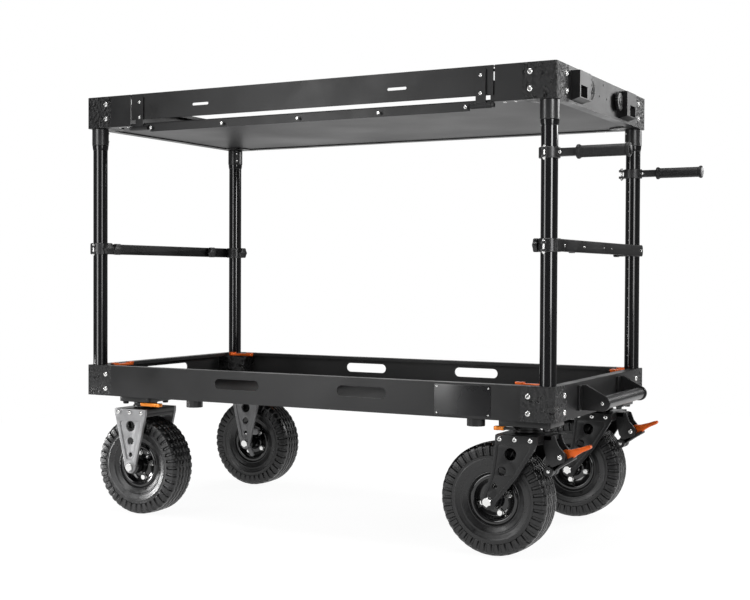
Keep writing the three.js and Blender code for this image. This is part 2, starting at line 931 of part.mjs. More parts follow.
// A hand wheel about its stem, with finger notches round its rim
function handWheel() {
  const front = handWheelStandoff + handWheelThickness;
  const wheel = bar("x", handWheelDiameter, handWheelStandoff, front, postSides);
  const stem = bar("x", handWheelStem, handWheelStandoff - handWheelStemLength, front, pinSides);
  const notches = [];
  for (let i = 0; i < knobLobes; i++) {
    const angle = (i * 2 * Math.PI) / knobLobes;
    const notch = bar("x", handWheelStem, handWheelStandoff - overrun, front + overrun, pinSides);
    const reach = handWheelDiameter / 2 + handWheelStem / 4;
    notches.push(notch.translate(0, reach * Math.cos(angle), reach * Math.sin(angle)));
  }
  return join(cut(wheel, ...notches), stem);
}

// A post with its collar, from the lower socket to the upper one
function post() {
  const radius = postDiameter / 2;
  const collar = collarDiameter / 2;
  const foot = lowerTop - socketDepth;
  const profile = [
    [0, foot],
    [radius, foot],
    [radius, upperBottom - collarHeight - collarTaper],
    [collar, upperBottom - collarHeight],
    [collar, upperBottom],
    [radius, upperBottom],
    [radius, upperBottom + socketDepth],
    [0, upperBottom + socketDepth],
  ];
  return turned("z", profile, postSides);
}

// A ring that clamps round a post
function postRing(height) {
  const bore = runningBore(postDiameter, postSides) / 2;
  const outer = handleRingDiameter / 2;
  const half = height / 2;
  const profile = [
    [bore, -half],
    [outer, -half],
    [outer, half],
    [bore, half],
  ];
  return turned("z", profile, postSides);
}

// A push handle about its post, pointing along +X
function pushHandle() {
  const ringEdge = (postDiameter / 2 + handleRingDiameter / 2) / 2;
  const gripStart = handleReach - handlePlugLength - handleGripLength;
  const gripEnd = handleReach - handlePlugLength;
  const halfArm = handleArmWidth / 2;
  const halfTall = handleArmHeight / 2;
  const arm = block(ringEdge, gripStart + handleFlangeLength / 2, -halfArm, halfArm, -halfTall, halfTall);
  const grip = handleGripDiameter / 2;
  const flange = handleFlangeDiameter / 2;
  const plug = handlePlugDiameter / 2;
  const profile = [
    [0, gripStart],
    [flange, gripStart],
    [flange, gripStart + handleFlangeLength],
    [grip, gripStart + handleFlangeLength + handleFlangeRise],
    [grip, gripEnd - handleFlangeLength - handleFlangeRise],
    [flange, gripEnd - handleFlangeLength],
    [flange, gripEnd],
    [plug, gripEnd],
    [plug, handleReach],
    [0, handleReach],
  ];
  const lugEnd = -handleRingDiameter / 2 - handleLugLength;
  const ringHalf = handleRingHeight / 2;
  const lugs = [
    block(lugEnd, -ringEdge, -handleLugWidth / 2, handleLugWidth / 2, ringHalf - handleLugPlate, ringHalf),
    block(lugEnd, -ringEdge, -handleLugWidth / 2, handleLugWidth / 2, -ringHalf, handleLugPlate - ringHalf),
  ];
  const pinHalf = ringHalf + handleLugPlate / 2;
  const pin = bar("z", handlePinDiameter, -pinHalf, pinHalf, pinSides);
  pin.translate(-handleRingDiameter / 2 - handleLugLength / 2, 0, 0);
  return join(postRing(handleRingHeight), arm, turned("x", profile, roundSides), ...lugs, pin);
}

// A crossbar between two posts, outer face at -X, with a clamp ring at each post
function crossbar() {
  const outer = handleRingDiameter / 2;
  const pieces = [
    prism(
      "yz",
      slotShape(2 * postY + handleRingDiameter, crossbarTall, 0, 0),
      -outer,
      -outer + crossbarThickness,
    ),
  ];
  [-1, 1].forEach((side) => {
    const half = crossbarRingHeight / 2;
    const ring = bar("z", handleRingDiameter, -half, half, postSides);
    pieces.push(ring.translate(0, side * postY, 0));
    const boss = bar("x", crossbarBossDiameter, postDiameter / 2, outer + crossbarKnobRidge, holeSides);
    pieces.push(boss.translate(0, side * postY, 0));
  });
  const joined = join(...pieces);
  const bores = [-1, 1].flatMap((side) => {
    const reach = crossbarRingHeight / 2 + overrun;
    const bore = bar("z", postDiameter + 2 * gap, -reach, reach, postSides);
    const stemBore = runningBore(crossbarKnobStem, pinSides);
    const stemHole = bar("x", stemBore, 0, outer + overrun, pinSides);
    return [bore, stemHole].map((tool) => tool.translate(0, side * postY, 0));
  });
  return cut(joined, ...bores);
}

// A clamp knob about its screw along +X, with z = 0 on the post's axis, undone until it clears the collar
function crossbarKnob() {
  const start = handleRingDiameter / 2 + crossbarKnobRidge + gap;
  const stem = bar("x", crossbarKnobStem, collarDiameter / 2 + gap, start + overrun, pinSides);
  return join(stem, bar("x", crossbarKnobDiameter, start, start + crossbarKnobLength, holeSides));
}

// The whole cart
const cart = new THREE.Group();
cart.position.x = -partCentreX;
cart.position.y = -partCentreY;

const lowerFrame = subgroup(cart, 0, 0, lowerBottom);
part(lowerFrame, "lower_deck", deckPlate(sheet), black, 0, 0, sheet);
part(lowerFrame, "lower_rail_front", lowerLongRail(), black, 0, -halfWidth, 0);
part(lowerFrame, "lower_rail_back", mirroredY(lowerLongRail()), black, 0, halfWidth, 0);
part(lowerFrame, "lower_rail_right", endRail(lowerHeight), black, halfLength, 0, 0);
const leftRail = part(lowerFrame, "lower_rail_left", slottedEndRail(), black, -halfLength, 0, 0);
leftRail.rotation.z = Math.PI;
part(cart, "push_bar", pushBar(), black, halfLength, endOffset, 0);

ends.forEach(([end, sx]) => {
  sides.forEach(([side, sy]) => {
    const place = `${side}_${end}`;
    const lower = part(
      lowerFrame,
      `lower_corner_${place}`,
      lowerCasting(),
      textured,
      sx * halfLength,
      sy * halfWidth,
      0,
    );
    lower.scale.set(-sx, -sy, 1);
    const latch = part(
      lowerFrame,
      `post_latch_${place}`,
      postLatch(),
      orange,
      sx * (halfLength - latchPlaceX),
      sy * (halfWidth - latchPlaceY),
      lowerHeight + latchProud - latchThickness,
    );
    latch.scale.set(-sx, -sy, 1);
    if (sx * sy > 0) latch.geometry.rotateZ(Math.PI / 2);
    part(cart, `post_${place}`, post(), gloss, sx * postX, sy * postY, 0);
    const upper = part(
      cart,
      `upper_corner_${place}`,
      upperCasting(),
      textured,
      sx * halfLength,
      sy * halfWidth,
      upperBottom,
    );
    upper.scale.set(-sx, -sy, 1);
  });
});

// Casters
ends.forEach(([end, sx]) => {
  sides.forEach(([side, sy]) => {
    const place = `${side}_${end}`;
    const swivels = sx > 0;
    const kingpinX = swivels ? halfLength - kingpinFromRight : kingpinFromLeft - halfLength;
    const caster = subgroup(cart, kingpinX, sy * kingpinY, 0);
    const axleX = swivels ? -trail : 0;
    if (swivels) {
      part(caster, `caster_base_${place}`, swivelBase(), black);
      part(caster, `fork_${place}`, swivelFork(), black);
      part(caster, `brake_lever_${place}`, brakeLever(), orange, brakePivotX, 0, brakePivotHeight);
    } else {
      const fork = part(caster, `fork_${place}`, rigidFork(), plateGrey);
      fork.scale.set(1, -sy, 1);
    }
    part(caster, `tyre_${place}`, tyre(), rubber, axleX, 0, axleHeight);
    part(caster, `rim_${place}`, rim(), gloss, axleX, 0, axleHeight);
    const reach = swivels ? tabReachRight : tabReachLeft;
    const tab = part(caster, `release_tab_${place}`, releaseTab(reach), orange, 0, sy * tabOffset, 0);
    tab.scale.set(-sx, 1, 1);
  });
});

// Upper frame
const upperFrame = subgroup(cart, 0, 0, upperBottom);
part(upperFrame, "upper_deck", deckPlate(stripInset + sheet), plateGrey, 0, 0, sheet);
part(upperFrame, "upper_sill_front", upperSill(), black, 0, -halfWidth, 0);
const backRail = longRail(upperHeight, -railLengthX / 2, railLengthX / 2);
part(upperFrame, "upper_rail_back", mirroredY(backRail), black, 0, halfWidth, 0);
part(upperFrame, "upper_rail_right", receiverRail(), black, halfLength, 0, 0);
const upperLeft = part(upperFrame, "upper_rail_left", endRail(upperHeight), black, -halfLength, 0, 0);
upperLeft.rotation.z = Math.PI;
part(cart, "gate_front", dropGate(), black, 0, -halfWidth, barrelHeight);

sides.forEach(([side, sy]) => {
  part(
    upperFrame,
    `hand_wheel_${side}`,
    handWheel(),
    black,
    halfLength,
    handWheelPlace(sy),
    handWheelRise,
  );
  part(cart, `push_handle_${side}`, pushHandle(), black, postX, sy * postY, handleHeight);
});

ends.forEach(([end, sx]) => {
  const rail = part(cart, `crossbar_${end}`, crossbar(), black, sx * postX, 0, crossbarHeight);
  if (sx > 0) rail.rotation.z = Math.PI;
  sides.forEach(([side, sy]) => {
    const knob = part(
      cart,
      `crossbar_knob_${side}_${end}`,
      crossbarKnob(),
      black,
      sx * postX,
      sy * postY,
      crossbarHeight,
    );
    knob.scale.set(-sx, 1, 1);
  });
});

export default cart;
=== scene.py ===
"""Looks of a two-deck camera cart on four pneumatic wheels."""

import math

import bmesh
import bpy
from mathutils import Matrix, Vector


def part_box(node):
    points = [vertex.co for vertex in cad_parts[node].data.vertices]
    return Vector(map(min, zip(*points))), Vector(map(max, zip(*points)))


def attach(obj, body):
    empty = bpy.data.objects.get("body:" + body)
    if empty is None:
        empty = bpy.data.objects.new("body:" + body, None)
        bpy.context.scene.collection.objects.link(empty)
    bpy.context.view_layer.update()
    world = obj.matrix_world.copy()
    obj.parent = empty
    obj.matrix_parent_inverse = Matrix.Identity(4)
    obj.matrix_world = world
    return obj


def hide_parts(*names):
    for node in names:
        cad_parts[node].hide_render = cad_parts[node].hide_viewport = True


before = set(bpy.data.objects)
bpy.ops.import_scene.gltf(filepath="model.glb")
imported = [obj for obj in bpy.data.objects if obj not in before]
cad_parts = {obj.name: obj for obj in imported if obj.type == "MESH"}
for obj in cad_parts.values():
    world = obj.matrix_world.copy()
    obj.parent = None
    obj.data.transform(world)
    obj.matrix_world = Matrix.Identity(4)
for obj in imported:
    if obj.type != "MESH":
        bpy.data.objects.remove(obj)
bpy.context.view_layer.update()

MM = 0.001
ENDS = (("left", -1), ("right", 1))
SIDES = (("front", -1), ("back", 1))
# Each corner of the cart, with its way along x and along y
CORNERS = [(f"{side}_{end}", sx, sy) for end, sx in ENDS for side, sy in SIDES]


# Places taken from the solids, in millimetres
def span(node):
    low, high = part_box(node)
    return [v / MM for v in low], [v / MM for v in high]


def middle(node):
    low, high = span(node)
    return [(a + b) / 2 for a, b in zip(low, high)]


FRAME_LEFT = span("lower_rail_left")[0][0]
FRAME_RIGHT = span("lower_rail_right")[1][0]
FRAME_MIDDLE = (FRAME_LEFT + FRAME_RIGHT) / 2
CENTRE_Y = (span("lower_rail_front")[0][1] + span("lower_rail_back")[1][1]) / 2
HALF_WIDTH = span("lower_rail_back")[1][1] - CENTRE_Y
LOWER_BOTTOM = span("lower_rail_right")[0][2]
LOWER_TOP = span("lower_rail_right")[1][2]
UPPER_BOTTOM = span("upper_corner_front_left")[0][2]
AXLE_HEIGHT = middle("rim_front_left")[2]


def frame_end(way):
    return FRAME_RIGHT if way > 0 else FRAME_LEFT


# Mesh code, in millimetres
class Solid:
    """Gathers the surfaces of one piece."""

    def __init__(self):
        self.bm = bmesh.new()

    def loft(self, rings, wrap):
        """Joins each ring of points to the next; a ring may be a single point."""
        made = [[self.bm.verts.new(p) for p in ring] for ring in rings]
        pairs = list(zip(made, made[1:]))
        if wrap:
            pairs.append((made[-1], made[0]))
        for a, b in pairs:
            n = max(len(a), len(b))
            for k in range(n):
                j = (k + 1) % n
                if len(a) == 1:
                    self.bm.faces.new((a[0], b[j], b[k]))
                elif len(b) == 1:
                    self.bm.faces.new((a[k], a[j], b[0]))
                else:
                    self.bm.faces.new((a[k], a[j], b[j], b[k]))

    def lathe(self, profile, matrix=None, steps=48, hexes=(), wrap=False):
        """Turns (radius, place) pairs about local Z; rings in hexes get six flat sides."""
        matrix = matrix or Matrix()
        rings = []
        for i, (radius, place) in enumerate(profile):
            if radius < 1e-6:
                rings.append([matrix @ Vector((0, 0, place))])
                continue
            ring = []
            for k in range(steps):
                angle = 2 * math.pi * k / steps
                r = radius
                if i in hexes:
                    r = radius / math.cos((angle + math.pi / 6) % (math.pi / 3) - math.pi / 6)
                ring.append(matrix @ Vector((r * math.cos(angle), r * math.sin(angle), place)))
            rings.append(ring)
        self.loft(rings, wrap)

    def plate(self, loops, start, end, matrix=None, *, bevel, steps=2):
        """A flat outline with holes, given thickness along local Z, with rounded edges."""
        curve = bpy.data.curves.new("outline", "CURVE")
        curve.dimensions = "2D"
        curve.fill_mode = "BOTH"
        for loop in loops:
            spline = curve.splines.new("POLY")
            spline.points.add(len(loop) - 1)
            for point, (a, b) in zip(spline.points, loop):
                point.co = (a, b, 0, 1)
            spline.use_cyclic_u = True
        curve.extrude = (end - start) / 2 - bevel
        curve.bevel_depth = bevel
        curve.bevel_resolution = steps
        curve.offset = -bevel
        holder = bpy.data.objects.new("outline", curve)
        mesh = bpy.data.meshes.new_from_object(holder)
        mesh.transform(Matrix.Translation((0, 0, (start + end) / 2)))
        if matrix:
            mesh.transform(matrix)
        self.bm.from_mesh(mesh)
        bpy.data.objects.remove(holder)
        bpy.data.curves.remove(curve)
        bpy.data.meshes.remove(mesh)

    def box(self, x0, x1, y0, y1, z0, z1, bevel):
        self.plate([rectangle(x0, x1, y0, y1)], z0, z1, bevel=bevel)

    def mesh(self, name, smooth_below=38):
        bmesh.ops.remove_doubles(self.bm, verts=self.bm.verts, dist=0.002)
        bmesh.ops.recalc_face_normals(self.bm, faces=self.bm.faces)
        mesh = bpy.data.meshes.new(name)
        self.bm.to_mesh(mesh)
        self.bm.free()
        mesh.transform(Matrix.Scale(MM, 4))
        mesh.shade_smooth()
        mesh.set_sharp_from_angle(angle=math.radians(smooth_below))
        return mesh


def move(x, y, z):
    return Matrix.Translation((x, y, z))


def facing(normal, at=(0, 0, 0)):
    """A frame whose Z runs along normal."""
    turn = Vector(normal).normalized().to_track_quat("Z", "Y").to_matrix().to_4x4()
    return Matrix.Translation(at) @ turn


# Axes of plates drawn in the xz and in the yz plane
XZ = Matrix(((1, 0, 0, 0), (0, 0, 1, 0), (0, 1, 0, 0), (0, 0, 0, 1)))
YZ = Matrix(((0, 0, 1, 0), (1, 0, 0, 0), (0, 1, 0, 0), (0, 0, 0, 1)))
# Axes of shapes turned about x and about y
AXIS_X = facing((1, 0, 0))
AXIS_Y = facing((0, 1, 0))
# Ways that screws face
FORWARD = (0, -1, 0)
DOWN = (0, 0, -1)


def xz(side):
    """Axes of a plate drawn in the xz plane, for the side at +y or at -y."""
    return Matrix.Diagonal((1, side, 1, 1)) @ XZ


def share(value):
    """The value kept from zero to one."""
    return max(0.0, min(1.0, value))


def arc(cx, cy, radius, start, end, steps):
    points = []
    for k in range(steps + 1):
        angle = math.radians(start + (end - start) * k / steps)
        points.append((cx + radius * math.cos(angle), cy + radius * math.sin(angle)))
    return points


def rectangle(x0, x1, y0, y1):
    return [(x0, y0), (x1, y0), (x1, y1), (x0, y1)]


def mirrored(half):
    """Both halves of an outline that is the same on either side of its first axis."""
    return [(a, -b) for a, b in half] + half[::-1]


def circle(cx, cy, radius):
    return arc(cx, cy, radius, 0, 350, 35)


def rounded(points, radius, steps=5):
    """The outline with its corners rounded; radius is one number or one for each corner."""
    out = []
    n = len(points)
    for i, p in enumerate(points):
        r = radius[i] if isinstance(radius, list) else radius
        here = Vector(p)
        before = Vector(points[i - 1]) - here
        after = Vector(points[(i + 1) % n]) - here
        turn = before.angle(after)
        reach = r / math.tan(turn / 2) if turn > 1e-3 else 0
        reach = min(reach, before.length * 0.49, after.length * 0.49)
        if r <= 0 or reach < 0.05:
            out.append((here.x, here.y))
            continue
        a = here + before.normalized() * reach
        b = here + after.normalized() * reach
        for k in range(steps + 1):
            t = k / steps
            q = a * (1 - t) ** 2 + here * 2 * t * (1 - t) + b * t ** 2
            out.append((q.x, q.y))
    return out


def link(a0, b0, r0, a1, b1, r1):
    """The outline round two circles."""
    turn = math.degrees(math.atan2(b1 - b0, a1 - a0))
    spread = math.degrees(math.acos((r0 - r1) / math.hypot(a1 - a0, b1 - b0)))
    far = arc(a1, b1, r1, turn - spread, turn + spread, 12)
    near = arc(a0, b0, r0, turn + spread, turn - spread + 360, 12)
    return far + near


def fill(node, **values):
    """Sets inputs of a shader node; _ in a name stands for a blank."""
    for name, value in values.items():
        node.inputs[name.replace("_", " ")].default_value = value
    return node


def add(tree, kind, **values):
    return fill(tree.nodes.new("ShaderNode" + kind), **values)


def compute(tree, operation, *values):
    """The output of a maths node, whose values are numbers or outputs of other nodes."""
    made = add(tree, "Math")
    made.operation = operation
    for socket, value in zip(made.inputs, values):
        if isinstance(value, bpy.types.NodeSocket):
            tree.links.new(value, socket)
        else:
            socket.default_value = value
    return made.outputs[0]


# The part of the noise's range that the materials use
UNEVEN_RANGE = (0.3, 0.7)


# Materials: each has its own colour variation, grain and roughness variation
def surface(
    name, color, roughness, metallic=0.0, specular=0.5, coat=0.0, grain=1400, bump=0.10,
    depth=0.0002, mottle=0.18, patch=9, uneven=0.08, speckle=0.0,
):
    material = bpy.data.materials.new(name)
    material.use_nodes = True
    tree = material.node_tree
    join = tree.links.new
    shader = tree.nodes["Principled BSDF"]
    fill(shader, Metallic=metallic, Specular_IOR_Level=specular)
    fill(shader, Coat_Weight=coat, Coat_Roughness=0.12)
    place = add(tree, "TexCoord").outputs["Object"]
    large = add(tree, "TexNoise", Scale=patch, Detail=5)
    fine = add(tree, "TexNoise", Scale=grain, Detail=3)
    join(place, large.inputs["Vector"])
    join(place, fine.inputs["Vector"])
    ramp = add(tree, "ValToRGB")
    gains = (1 - mottle, 1 + mottle)
    for end, at, gain in zip(ramp.color_ramp.elements, UNEVEN_RANGE, gains):
        end.position = at
        end.color = [min(1, c * gain) for c in color] + [1]
    shifted = compute(tree, "ADD", large.outputs["Fac"], -speckle / 2)
    join(compute(tree, "MULTIPLY_ADD", fine.outputs["Fac"], speckle, shifted), ramp.inputs["Fac"])
    join(ramp.outputs["Color"], shader.inputs["Base Color"])
    low, high = UNEVEN_RANGE
    rough = add(tree, "MapRange", From_Min=low, From_Max=high)
    fill(rough, To_Min=max(0.03, roughness - uneven), To_Max=min(1, roughness + uneven))
    join(large.outputs["Fac"], rough.inputs["Value"])
    join(rough.outputs["Result"], shader.inputs["Roughness"])
    relief = add(tree, "Bump", Strength=bump, Distance=depth)
    join(fine.outputs["Fac"], relief.inputs["Height"])
    join(relief.outputs["Normal"], shader.inputs["Normal"])
    return material


BLACK = surface("satin_black", (0.016, 0.016, 0.0165), 0.4, specular=0.38)
DECK_UNDER = surface("deck_black", (0.022, 0.022, 0.023), 0.42, specular=0.14, patch=4, uneven=0.05)
DECK_TOP = surface(
    "deck_matt_black", (0.018, 0.018, 0.0185), 0.55, specular=0.1, patch=5, uneven=0.05,
)
CASTING = surface(
    "wrinkle_black", (0.01, 0.01, 0.0105), 0.4, specular=0.45,
    grain=110, bump=1.0, depth=0.006, mottle=0.7, patch=48, uneven=0.24,
)
GLOSS = surface("gloss_black", (0.005, 0.005, 0.006), 0.1, coat=0.4, bump=0.0, uneven=0.03)
COLLAR = surface("collar_satin", (0.02, 0.02, 0.021), 0.3, specular=0.7, grain=900, uneven=0.06)
CLAMP = surface(
    "clamp_satin", (0.035, 0.035, 0.036), 0.3, metallic=0.3, specular=0.6, grain=500, bump=0.2,
    mottle=0.4,
)
MATT = surface("matt_black", (0.007, 0.007, 0.0075), 0.32, specular=0.2, grain=900)
DARK = surface(
    "fork_black", (0.01, 0.01, 0.0105), 0.34, specular=0.45, grain=500, bump=0.3, mottle=0.3,
)
GREY = surface(
    "fork_grey", (0.27, 0.27, 0.275), 0.42, metallic=0.3, grain=900, bump=0.4, mottle=0.25,
    patch=25, speckle=0.5,
)
RUBBER = surface(
    "tyre_rubber", (0.009, 0.009, 0.0095), 0.34, specular=0.55, grain=500, bump=0.35,
    depth=0.0004, mottle=0.5, patch=40, uneven=0.12,
)
RIM = surface("rim_black", (0.003, 0.003, 0.0035), 0.09, coat=0.4, bump=0.0, uneven=0.04)
STEEL = surface(
    "bright_steel", (0.85, 0.85, 0.84), 0.2, metallic=1.0, grain=1800, bump=0.08, mottle=0.1,
)
ORANGE = surface(
    "orange_anodised", (0.90, 0.14, 0.012), 0.3, metallic=0.4, grain=1500, bump=0.06, mottle=0.15,
)
AMBER = surface(
    "amber_anodised", (0.95, 0.27, 0.02), 0.3, metallic=0.3, grain=1500, bump=0.06, mottle=0.12,
)
PLASTIC = surface("knob_black", (0.011, 0.011, 0.0115), 0.34, grain=900, bump=0.2)
GRIP = surface(
    "grip_rubber", (0.011, 0.011, 0.0115), 0.5, specular=0.35, grain=420, bump=0.7,
    depth=0.0005, mottle=0.3,
)
PALE = surface("plug_grey", (0.42, 0.42, 0.42), 0.45, grain=900)
PLATE = surface("nameplate_black", (0.008, 0.008, 0.009), 0.26, specular=0.55, grain=600, bump=0.05)


def put(name, data):
    made = bpy.data.objects.new(name, data)
    bpy.context.scene.collection.objects.link(made)
    return made


def piece(name, shape, material, body, slot, at=None, node=None):
    """Puts in a Solid or a shared mesh, drawn about the middle of the frame's width unless at
    says where; node is the solid that it stands for."""
    mesh = shape.mesh(name) if isinstance(shape, Solid) else shape
    mesh.materials.clear()
    mesh.materials.append(material)
    made = put(name, mesh)
    made.matrix_world = at or place(0, CENTRE_Y, 0)
    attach(made, body)
    if node:
        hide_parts(node)


def steel_piece(name, shape, body, at=None):
    piece(name, shape, STEEL, body, "bright_steel", at)


def place(x, y, z, turn=0.0):
    """Where a mesh stands, in millimetres, and its turn about z in degrees."""
    return Matrix.Translation((x * MM, y * MM, z * MM)) @ Matrix.Rotation(math.radians(turn), 4, "Z")


def button(solid, at, normal, diameter, height, socket=0.42):
    """A domed screw head with a hexagonal socket."""
    r = diameter / 2
    s = r * socket
    profile = [
        (r * 0.97, -0.4), (r, 0.0), (r * 0.98, height * 0.3), (r * 0.86, height * 0.68),
        (r * 0.66, height * 0.93), (s * 1.12, height), (s, height * 0.96), (s, height * 0.35),
        (0, height * 0.3),
    ]
    solid.lathe(profile, facing(normal, at), steps=30, hexes=(5, 6, 7))


def hexagon(solid, at, normal, across, height, washer=0.0):
    """A hexagonal head, on a washer where one is given."""
    frame_of = facing(normal, at)
    r = across / 2
    if washer:
        solid.lathe([(washer / 2, 0), (washer / 2, 1.4), (r * 0.9, 1.6)], frame_of, steps=30)
    base = 1.4 if washer else 0
    profile = [
        (r * 0.98, base), (r, base + 0.4), (r, base + height * 0.82), (r * 0.93, base + height),
        (r * 0.55, base + height), (0, base + height),
    ]
    solid.lathe(profile, frame_of, steps=36, hexes=(0, 1, 2))


# Sheet and cast pieces that keep their solids get rounded edges and a finish
def dress(node, material, width=0.9, segments=2):
    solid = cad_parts[node]
    edge = solid.modifiers.new("edge", "BEVEL")
    edge.width = width * MM
    edge.segments = segments
    edge.limit_method = "ANGLE"
    edge.angle_limit = math.radians(32)
    edge.use_clamp_overlap = True
    solid.data.materials.clear()
    solid.data.materials.append(material)


for side in ("front", "back", "left", "right"):
    dress(f"lower_rail_{side}", BLACK)
for node in ("sill_front", "rail_back", "rail_left", "rail_right"):
    dress(f"upper_{node}", BLACK)
dress("gate_front", BLACK)
dress("lower_deck", DECK_TOP, 0.5)
dress("upper_deck", DECK_UNDER, 0.5)
for where, _, _ in CORNERS:
    dress(f"lower_corner_{where}", CASTING, 2.0, 3)
    dress(f"upper_corner_{where}", CASTING, 2.0, 3)


# Tyre: a ring with zigzag ribs on the tread and lugs on the shoulders
TYRE_LOW, TYRE_HIGH = span("tyre_front_left")
TYRE_RADIUS = (TYRE_HIGH[0] - TYRE_LOW[0]) / 2
TYRE_HALF = (TYRE_HIGH[1] - TYRE_LOW[1]) / 2
LUGS = 40
STEPS_PER_LUG = 8
LUG_DEPTH = 4.2
# Share of each lug's pitch where the gap starts, and the share over which it deepens
LUG_EDGE = (0.56, 0.14)
# Grooves of the tread: places as shares of its half width, half width, slope, depth and zigzag
GROOVE_SHARES = (-0.66, -0.24, 0.24, 0.66)
GROOVE_HALF = 2.9
GROOVE_SLOPE = 1.1
GROOVE_DEPTH = 5.0
GROOVE_WAVE = 1.8
# Radii of the two thin ribs round each side wall, and their half width
WALL_RIBS = (92, 77)
WALL_RIB_HALF = 1.7
SIDE_HALF = TYRE_HALF - 0.3
TREAD_HALF = SIDE_HALF * 0.72


def tyre_profile():
    """From the middle of the tread to the bead: radius, place, kind, share of relief sideways."""
    outer = TYRE_RADIUS - 0.4
    half = SIDE_HALF
    wall = half - 1.5
    tread = TREAD_HALF
    points = []
    for k in range(15):
        t = k / 14
        points.append((outer - 1.2 * t ** 2, tread * t, "tread", 0))
    for k in range(1, 9):
        t = k / 8
        y = tread + (wall - tread) * (1 - (1 - t) ** 1.5)
        points.append((outer - 1.2 - 7.5 * t ** 1.6, y, "lug", t * 0.5))
    for k in range(1, 7):
        t = k / 6
        y = wall + 1.5 * math.sin(t * math.pi / 2)
        points.append((outer - 8.7 - 19.5 * t, y, "lug", 0.5 + t * 0.5))
    wall_top = outer - 29.4
    points.append((wall_top, half - 1.6, "wall", 0))
    for k in range(1, 25):
        t = k / 24
        r = wall_top - t * (wall_top - 64)
        rib = max(math.exp(-((r - at) / WALL_RIB_HALF) ** 2) for at in WALL_RIBS)
        points.append((r, half - 1.6 - 9.5 * t ** 1.9 + rib, "wall", 0))
    bead = ((63.2, 10.2), (61.6, 10.0), (60.4, 11.6), (59.4, 13.6), (56.0, 15.4), (52.4, 19.0))
    return points + [(r, half - inset, "wall", 0) for r, inset in bead]


def tyre_mesh():
    points = tyre_profile()
    profile = [(r, -y, kind, aside) for r, y, kind, aside in reversed(points)] + points[1:]
    steps = LUGS * STEPS_PER_LUG
    solid = Solid()
    rings = []
    for k in range(steps):
        angle = 2 * math.pi * k / steps
        wave = abs((k / STEPS_PER_LUG) % 1 * 2 - 1) * 2 - 1
        ring = []
        for r, y, kind, aside in profile:
            depth = inwards = 0.0
            if kind == "tread":
                for at in GROOVE_SHARES:
                    off = abs(y - at * TREAD_HALF - wave * GROOVE_WAVE)
                    depth = max(depth, GROOVE_DEPTH * share((GROOVE_HALF - off) / GROOVE_SLOPE))
            elif kind == "lug":
                # The lugs of the two shoulders are half a pitch apart
                lug = abs(((k + (3 if y > 0 else -1)) / STEPS_PER_LUG) % 1 - 0.5) * 2
                depth = LUG_DEPTH * share((lug - LUG_EDGE[0]) / LUG_EDGE[1])
                inwards = depth * aside
                depth *= 1 - aside
            r -= depth
            ring.append((r * math.cos(angle), y - math.copysign(inwards, y), r * math.sin(angle)))
        rings.append(ring)
    solid.loft(rings, wrap=True)
    return solid.mesh("tyre", 42)


# Rim: a deep dished two-piece rim in gloss black with a hub
RIM_LOW, RIM_HIGH = span("rim_front_left")
HUB_HALF = (RIM_HIGH[1] - RIM_LOW[1]) / 2
RIM_HALF = 30.0
# Radius of the bolt circle; the valve's radius, angle from the first bolt and lean
RIM_BOLTS = 33.5
VALVE_RADIUS = 43
VALVE_ASIDE = 30
VALVE_LEAN = 0.35
# How far each wheel is turned, in degrees
WHEEL_TURNS = {"front_left": 12, "back_left": 58, "front_right": 20, "back_right": 75}


def rim_mesh():
    solid = Solid()
    hub = HUB_HALF
    near = [
        (8.2, -hub), (19.0, -hub), (19.8, -hub + 0.8), (19.8, -22), (20.6, -16.5), (24.0, -14.2),
        (31, -13.6), (38, -14.4), (42.5, -17.0), (44.6, -20.5), (46.4, -25.5),
    ]
    # Each flange: radius and distance from the rim's edge
    flange = (
        (48.5, 1.0), (52.0, -0.2), (55.5, 0.2), (58.6, 1.8), (59.0, 2.6), (58.2, 3.0), (55.0, 2.0),
        (52.0, 2.2), (50.9, 5),
    )
    far = [
        (46.4, 25.5), (44.6, 10), (44.0, -4.0), (42.0, -7.6), (38, -8.6), (31, -8.0), (24, -8.0),
        (20.4, -6.2), (19.8, -3), (19.8, hub - 0.8), (19.0, hub), (8.2, hub),
    ]
    flanges = mirrored([(r, RIM_HALF - inset) for r, inset in flange])
    solid.lathe(near + flanges + far, AXIS_Y, steps=96, wrap=True)
    return solid.mesh("rim", 50)


def rim_steel(turn):
    """The four bolts through the disc, and the valve."""
    solid = Solid()
    for k in range(4):
        angle = math.radians(turn + 90 * k)
        x, z = RIM_BOLTS * math.cos(angle), RIM_BOLTS * math.sin(angle)
        hexagon(solid, (x, -13.9, z), FORWARD, 13, 5.5, washer=15)
        hexagon(solid, (x, -8.4, z), (0, 1, 0), 13, 8)
    angle = math.radians(turn + VALVE_ASIDE)
    x, z = math.cos(angle), math.sin(angle)
    stem = [(2.4, 0), (2.4, 9), (3.1, 9.4), (3.1, 15.5), (2.4, 16.4), (0, 16.6)]
    lean = facing((-VALVE_LEAN * x, -1, -VALVE_LEAN * z), (VALVE_RADIUS * x, -18.5, VALVE_RADIUS * z))
    solid.lathe(stem, lean, steps=16)
    return solid


TYRE = tyre_mesh()
RIM_MESH = rim_mesh()
for where, _, _ in CORNERS:
    body = f"wheel_{where}"
    at = place(*middle(f"rim_{where}"))
    piece(f"tyre_{where}_tread", TYRE, RUBBER, body, "tyre", at, f"tyre_{where}")
    piece(f"rim_{where}_dish", RIM_MESH, RIM, body, "rim_black", at, f"rim_{where}")
    steel_piece(f"rim_{where}_bolts", rim_steel(WHEEL_TURNS[where]), body, at)


